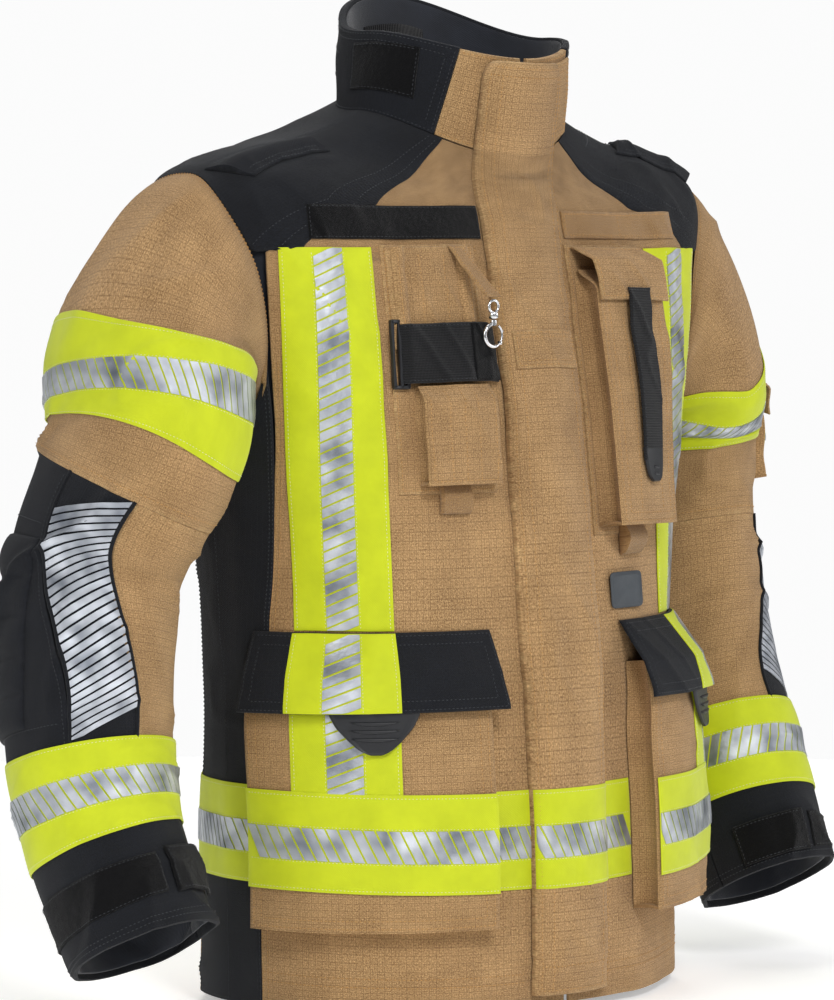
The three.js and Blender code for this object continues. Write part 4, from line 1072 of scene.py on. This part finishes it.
for name, side in SIDES:
    hem_bag(name, side)
    pocket_trims(name, side)
    hem_flap(name, side)
    rubber_tab(name, side)
    p = Piece(f"chest_strip_{name}")
    p.trim(body, upright(side * TRIM_INNER, side * TRIM_OUTER, 295, 580), .5, slope=side)
    p.done("coat", [f"chest_trim_{name}"])
    p = Piece(f"hem_strip_{name}")
    p.trim(body, section_box(side * 30, side * 74, *HEM_TRIM), .5, slope=-side)
    p.done("coat")

p = Piece("back_trims")


def back_band(u, v):
    section = lerp(*HEM_TRIM, v)
    side_edge = angle_at(256, section)
    return lerp(side_edge, 360 - side_edge, u), section + 0 * u


p.trim(body, back_band, .9, slope=-1)
for side in (1, -1):
    brace = lambda u, v: (180 + side * lerp(19, 41, v), lerp(1.5, 5.24, u) + 0 * v)
    p.trim(body, brace, 1.4, slope=side)
p.done("coat", ["trim_back"])

# ---- right chest: tool pocket, strap and snap hook ----
p = Piece("tool_bag")
back = girth_box(-50, -134, 396, 582)
size = p.sheet(body, back, -.2, 1.4, TAN, 3)
p.seams(body, back, size, 1.6, "tan", (3,))
face, off = bellows(p, -56, -117, 402, 476, lambda z: 18 - 9 * smooth(z, 462, 476), pleat=5, base=1.4, step=3)
p.ruled(body, face, off, "tan", xs=(.3, .5, .7), span=(.04, .96))
loop = girth_box(-76, -102, 381, 408)
p.sheet(body, loop, .6, lambda u, v: 4.5 + 4 * np.sin(np.pi * np.clip(v * 1.2, 0, 1)), TAN_WEB, 2)
p.done("coat", ["tool_pocket"])
p = Piece("tool_upper")
upper = girth_box(-56, -131, 503.5, 580)


def pleats(u, v):
    out = np.abs(u - .5)
    return 3.6 + 4.5 * (smooth(out, .30, .35) - smooth(out, .42, .47)) + 1.5 * np.sin(np.pi * u)


p.sheet(body, upper, 1.2, pleats, TAN, 2)
p.ruled(body, upper, lambda u, v: pleats(u, v) + .25, "tan", xs=(.1, .36, .64, .9), span=(.04, .96))
p.done("coat", ["tool_panel"])
p = Piece("tool_band")
band = girth_box(-43, -128, 478, 522)
bow = lambda u: np.minimum(1, np.minimum(7 * u, 9 * (1.03 - u)))
rise = lambda u, v: 2.2 + 7.6 * bow(u) + .5 * noise(u * 4, v * 2, 0, 81)
size = p.sheet(body, band, rise, lambda u, v: rise(u, v) + 1.9, WEB, 2)
fold = girth_box(-43, -70, 479, 521)
p.sheet(body, fold, lambda u, v: rise(u * .32, v) + 1.9, lambda u, v: rise(u * .32, v) + 3.4, PILE, 1.5)
p.seams(body, band, size, lambda u, v: rise(u, v) + 2.1, "black", (2.,), "tb")
p.done("coat", ["tool_strap"])
p = Piece("ladder_buckle")
at = by_height(-128, 500)
bar = lambda w, h, x=0., y=0.: oval(w, h, 0, 24, 8) + np.array([x, y])
for x in (-5.8, 0, 5.8):
    plate(p, at, bar(2.6, 52, x), 4, 3.4, RUBBER, bevel=.7)
for y in (-24.6, 24.6):
    plate(p, at, bar(14, 3, 0, y), 4, 3.4, RUBBER, bevel=.7)
p.done("coat", ["strap_buckle"])

p = Piece("hook_webbing")
leaning = lambda g0, g1, z0, z1: (lambda t: by_height(-lerp(g0, g1, t), lerp(z0, z1, t)))
strap = inside(leaning(53, 67, 537, 537), leaning(64, 78, 580, 580),
               leaning(53, 64, 537, 580), leaning(67, 78, 537, 580))
lean = lambda u, v: 6 + 24.6 * (1 - v) ** 1.15
size = p.sheet(body, strap, lambda u, v: lean(u, v) - .6, lambda u, v: lean(u, v) + 1.4, TAN_WEB, 1.6)
p.seams(body, strap, size, lambda u, v: lean(u, v) + 1.6, "tan", (2.,), "lrt", pitch=2.6)
p.done("coat", ["hook_strap"])

hook = body(*by_height(-60, 534), 30.)
ring_at = lambda radius, x, z, start, sweep, n=40: hook + np.stack([
    x + radius * np.cos(np.radians(np.linspace(start, start + sweep, n))), np.zeros(n),
    z + radius * np.sin(np.radians(np.linspace(start, start + sweep, n)))], -1)
p = Piece("swivel_eye")
p.tube(ring_at(4.6, 0, -4, -80, 340), 1.1, METAL, 14)
p.turned([(1.2, -8.2), (3.4, -8.6), (3.8, -9.6), (3.8, -11.8), (3.2, -13), (1.6, -13.6)],
         hook, (0, 0, 1), METAL)
p.done("hook_swivel", ["hook_swivel"])
p = Piece("trigger_hook")
p.turned([(1.4, -13.9), (2.4, -14.3), (2.6, -16), (2.4, -18.2), (1.2, -18.8)], hook, (0, 0, 1), METAL)
wire = np.interp(np.linspace(0, 1, 60), [0, .12, .5, .9, 1], [1.3, 1.5, 1.5, 1.4, .9])
p.tube(ring_at(8.5, 0, -25.6, 80, 230, 60), wire, METAL, 16)
p.done("snap_hook", ["snap_hook"])
p = Piece("trigger_gate")
p.tube(ring_at(8.5, 0, -25.6, -41, 97, 36), .85, METAL, 14)
p.turned([(.8, -1.6), (1.5, -1.2), (1.5, 1.2), (.8, 1.6)],
         ring_at(8.5, 0, -25.6, -41, 1)[0], (0, 1, 0), METAL, 16)
p.turned([(.6, 0), (1.1, .3), (1.1, 1.0), (.6, 1.4)], ring_at(8.5, 0, -25.6, 20, 1)[0], (1, 0, .3), METAL, 16)
p.done("snap_gate", ["snap_gate"])

# ---- left chest: radio pocket, badge and webbing strip ----
p = Piece("radio_bag")
back = girth_box(46, 133, 360, 582)
size = p.sheet(body, back, -.2, 1.4, TAN, 3)
p.seams(body, back, size, 1.6, "tan", (3,))
face, off = bellows(p, 52, 127, 366, 562, lambda z: 25 - 19 * smooth(z, 544, 562),
                    pleat=8, insets=(3., 9.), base=1.4, step=3.4)
p.ruled(body, face, off, "tan", xs=(.3, .72), span=(.06, .8))
loop = girth_box(76, 104, 344, 372)
p.sheet(body, loop, .6, lambda u, v: 5 + 7 * np.sin(np.pi * np.clip(v * 1.1, 0, 1)), TAN_WEB, 2)
p.done("coat", ["radio_pocket"])
p = Piece("radio_cover")
cover = lambda u, v: by_height(lerp(50.5, 128.5, u), np.interp(v, [0, .33, .67, 1], [535, 550, 566, 580]))
thick = lambda u, v: np.interp(v, [0, .33, .67, 1], [30.5, 30.3, 27.5, 4.6]) + .5 * np.sin(np.pi * u)
size = p.sheet(body, cover, lambda u, v: thick(u, v) - 2.3, thick, TAN, 2.4)
p.seams(body, cover, size, lambda u, v: thick(u, v) + .25, "tan", (3,))
p.done("radio_flap", ["radio_flap"])
p = Piece("radio_band")
place = girth_box(77, 102, 414, 544)
strap = lambda u, v: 28.4 + 3.4 * smooth(v, .74, .9) + 2.5 * np.sin(np.pi * np.clip(v / .8, 0, 1))
p.sheet(body, place, strap, lambda u, v: strap(u, v) + 2.2, WEB, 2)
half = lambda v: np.interp(v, [0, .15, .5, 1], [4, 8.5, 11, 12.5])
tip = lambda u, v: by_height(89.5 + (2 * u - 1) * half(v), lerp(398, 424, v))
p.sheet(body, tip, 28.2, 31.4, RUBBER, 2)
for z in (403, 408):
    p.sheet(body, girth_box(86, 93, z, z + 2.2), 31, 32.2, RUBBER, 1.5)
p.seams(body, place, (25, 130), lambda u, v: strap(u, v) + 2.4, "black", (2.,), "tlr")
p.done("radio_flap", ["radio_strap"])
p = Piece("badge_plate")
at = by_height(79, 317)
plate(p, at, oval(42, 28, 0, 56, 9), 1.6, 1.9, GREY, bevel=.6)
to = plate(p, at, oval(37, 23, 0, 56, 9), .5, 3.3, GREY, bevel=.25)
p.done("coat", ["badge"])
p = Piece("chest_webbing")
place = girth_box(48, 178, 587, 608)
webbing = lambda u, v: 1.9 + .5 * np.abs(np.sin(np.pi * u * 2))
size = p.sheet(body, place, .2, webbing, TAN_WEB, 2.5)
p.seams(body, place, size, lambda u, v: webbing(u, v) + .2, "tan", (2.5,))
p.stitch(body, place, (.5, .1), (.5, .9), 2.1, "tan")
p.done("coat")

# ---- sleeves ----
def tilted(low, high, rise, start):
    """A band round the sleeve whose place swings by rise, from nothing at the start turn."""
    def place(u, v):
        turn = lerp(-90, 270, u)
        return turn, lerp(low, high, v) + rise * np.sin(np.radians(turn - start))
    return place


for name, side in SIDES:
    surf, q = SLEEVE[side], PLACES[side]
    arm = f"sleeve_{name}"
    both = ("coat", arm)
    d = np.array([side * .7, 0, -.7])
    bend = (tuple(d / .98 * .27), tuple(d / .98 * .352))
    around = lambda s0, s1: angle_box(-90, 270, s0, s1)
    p = Piece(f"upper_sleeve_{name}")
    top = around(0.0, q["elbow"] + .004)
    p.sheet(surf, top, -3, .5, TAN, 4)
    for place in (.012, .03, q["elbow"] - .008):
        p.ruled(surf, around(place, place + .01), .8, "tan", ys=(0,))
    p.done(both, [f"sleeve_head_{name}", f"sleeve_{name}"], bend)
    p = Piece(f"arm_trim_{name}")
    p.trim(surf, tilted(q["band"][0] + .012, q["band"][1] + .005, -.022, 60), 1.2, slope=-1)
    p.done(both, [f"upper_band_{name}"], bend)

    low = q["lower"][0] + .02
    start = q["elbow"] + .002
    tan_edge = lambda v: lerp(36, 4, v) + 7 * np.sin(2 * np.pi * v)
    silver_edge = lambda v: lerp(82, 52, v) + 7 * np.sin(2 * np.pi * v)
    arc = lambda t0, t1, end=low: (lambda u, v: (lerp(t0(v), t1(v), u), lerp(start, end, v) + 0 * u))
    p = Piece(f"lower_sleeve_{name}")
    p.sheet(surf, arc(lambda v: 204., lambda v: 360 + tan_edge(v)), -3, 0, TAN, 4)
    p.done(arm, [f"forearm_{name}"])
    p = Piece(f"silver_panel_{name}")
    p.sheet(surf, arc(tan_edge, silver_edge), -3, .1, BLACK, 2.5)
    short = arc(tan_edge, silver_edge, q["lower"][0] - .004)
    turned_panel = lambda u, v: short(v, u)
    p.trim(surf, turned_panel, .3, slope=1.25, tape=False, wide_share=(.03, .97), pitch=6.2, gap=1.6)
    v = np.linspace(0, 1, 70)
    for edge_of in (tan_edge, silver_edge):
        p.tube(surf(edge_of(v), lerp(start, q["lower"][0] - .002, v), .8), 1.4, BLACK, 8)
    p.done(arm, [f"reflective_panel_{name}"])
    p = Piece(f"elbow_{name}")
    dark = arc(silver_edge, lambda v: 205)
    p.sheet(surf, dark, -3, .5, BLACK, 4)
    p.ruled(surf, dark, .8, "black", ys=(.2, .86), span=(.05, .95))
    p.ruled(surf, dark, .8, "black", xs=(.03,), span=(.02, .98))
    p.done(arm, [f"elbow_panel_{name}"])
    p = Piece(f"elbow_pad_{name}")
    pad = angle_box(86, 172, start + .085, low - .05)
    ribs = lambda u, v: 1.2 + 6.2 * (np.abs(np.sin(np.pi * v * 5)) ** .55) * np.sin(np.pi * u) ** .35
    p.sheet(surf, pad, .2, ribs, BLACK, 2.4)
    p.ruled(surf, pad, 1.5, "black", ys=(1 / 5, 2 / 5, 3 / 5, 4 / 5), span=(.05, .95))
    p.done(arm)
    p = Piece(f"wrist_trim_{name}")
    p.trim(surf, tilted(q["lower"][0] - .006, q["lower"][1] + .004, .006, 0), 1.2, slope=-1)
    p.done(arm, [f"lower_band_{name}"])
    p = Piece(f"cuff_shell_{name}")
    p.sheet(surf, around(low - .004, 1.), -3, .5, BLACK, 3)
    for place in (.985, .975):
        p.ruled(surf, around(place, place), .8, "black", ys=(0,))
    p.sheet(surf, around(.9, .985), -7, -4, LINING, 4)
    p.done(arm, [f"cuff_{name}"])
    c0, c1 = q["lower"][1] + .045, q["lower"][1] + .1
    pile(f"cuff_pile_{name}", surf, angle_box(4, 150, c0, c1), .8, arm, step=1.8)
    p = Piece(f"cuff_tab_{name}")
    tab = angle_box(-62, -3, c0 - .004, c1 + .004)
    size = p.sheet(surf, tab, 2.5, lambda u, v: 4.5 + .3 * noise(u * 50, v * 30, 0, 91), PILE, 1.6)
    p.seams(surf, tab, size, 4.9, "black", (2.,))
    p.done(f"cuff_strap_{name}", [f"cuff_strap_{name}"])

surf = SLEEVE[1]
p = Piece("arm_bag")


def arm_grid(inset):
    u = np.concatenate([[0, 0, .03, 0, 0], np.linspace(.02, .98, 20), [1, 1, .97, 1, 1]])
    o = np.concatenate([[0, .25, .5, .75, .96], np.ones(20), [.96, .75, .5, .25, 0]])
    v = np.linspace(0, 1, 26)
    uu, vv = np.meshgrid(u, v)
    oo = np.broadcast_to(o, uu.shape)
    squeeze = .5 + (uu - .5) * (1 - inset * .03)
    return surf(lerp(64, 118, squeeze), lerp(.288, .43 - .004 * inset, vv), 2.6 + oo * (18.4 - inset))


p.solid(arm_grid(0), arm_grid(1.8), TAN, np.stack(np.meshgrid(np.arange(30) * 3., np.arange(26) * 3.4), -1))
turns, offs = np.meshgrid(np.linspace(64, 118, 16), np.linspace(2.6, 20.6, 6))
bottom = surf(turns, .43, offs)
cells = np.stack(np.meshgrid(np.arange(16) * 4., np.arange(6) * 3.), -1)
p.solid(bottom, bottom + np.array([0, 0, 2.]), TAN, cells)
p.trim(surf, angle_box(66, 116, .335, .40), 21.2, slope=-1)
p.done("sleeve_left", ["arm_pocket"])
p = Piece("arm_cover")
cover = angle_box(61, 121, .239, .33)
high = lambda u, v: 11.4 + 13.4 * np.minimum(1, v * 3.2)
size = p.sheet(surf, cover, lambda u, v: high(u, v) - 2.3, high, TAN, 2.4)
p.seams(surf, cover, size, lambda u, v: high(u, v) + .25, "tan", (3,))
p.done("arm_pocket_flap", ["arm_pocket_flap"])

# ---- camera, light and floor ----
scene = bpy.context.scene
target = np.array([0, 0, 385.])
az, el = math.radians(-41), math.radians(3)
look = np.array([-math.sin(az) * math.cos(el), math.cos(az) * math.cos(el), -math.sin(el)])
cam = bpy.data.cameras.new("camera")
cam.sensor_width, cam.sensor_fit = 36, "AUTO"
cam.lens = 4608 * 36 / 1000
cam.shift_x, cam.shift_y = -.015, -.002
camera = bpy.data.objects.new("camera", cam)
scene.collection.objects.link(camera)
camera.location = Vector(row(target)) - 3.6 * Vector(look)
camera.rotation_euler = Vector(look).to_track_quat("-Z", "Y").to_euler()
scene.camera = camera


def area(name, place, size, power, tint=(1, 1, 1)):
    data = bpy.data.lights.new(name, "AREA")
    data.shape, data.size, data.energy, data.color = "DISK", size, power, tint
    ob = bpy.data.objects.new(name, data)
    ob.location = place
    ob.rotation_euler = (Vector((0, 0, -.3)) - Vector(place)).to_track_quat("-Z", "Y").to_euler()
    scene.collection.objects.link(ob)


area("key", (-1.0, -2.6, 1.5), 1.0, 50)
area("left_fill", (-3.0, -.4, .7), 1.3, 21)
area("right_fill", (2.4, -2.0, .4), 1.3, 17)
area("top", (0, .4, 2.4), 1.5, 20)
area("rim", (1.6, 2.2, .8), 1.2, 14)
world = bpy.data.worlds.new("studio")
world.use_nodes = True
tree = world.node_tree
ambient = tree.nodes["Background"]          # lights the coat
ambient.inputs[0].default_value, ambient.inputs[1].default_value = (1, 1, 1, 1), .3
shown = tree.nodes.new("ShaderNodeBackground")
shown.inputs[0].default_value = (.97, .97, .97, 1)
pick = tree.nodes.new("ShaderNodeMixShader")
rays = tree.nodes.new("ShaderNodeLightPath")
tree.links.new(rays.outputs["Is Camera Ray"], pick.inputs[0])
tree.links.new(ambient.outputs[0], pick.inputs[1])
tree.links.new(shown.outputs[0], pick.inputs[2])
tree.links.new(pick.outputs[0], tree.nodes["World Output"].inputs[0])
scene.world = world
scene.view_settings.view_transform = "Standard"

floor_mesh = bpy.data.meshes.new("floor")
z = cad_box[0].z - .004
FLOOR_RADIUS, FLOOR_SIDES = 1.7, 72
turns = [2 * math.pi * k / FLOOR_SIDES for k in range(FLOOR_SIDES)]
rim = [(FLOOR_RADIUS * math.cos(t), FLOOR_RADIUS * math.sin(t), z) for t in turns]
floor_mesh.from_pydata(rim, [], [tuple(range(FLOOR_SIDES))])
floor = bpy.data.objects.new("floor", floor_mesh)
scene.collection.objects.link(floor)
pale = bpy.data.materials.new("pale_floor")
pale.use_nodes = True
sockets = pale.node_tree.nodes["Principled BSDF"].inputs
sockets["Base Color"].default_value, sockets["Roughness"].default_value = (.93, .93, .93, 1), .9
sockets["Emission Color"].default_value, sockets["Emission Strength"].default_value = (1, 1, 1, 1), .35
floor_mesh.materials.append(pale)
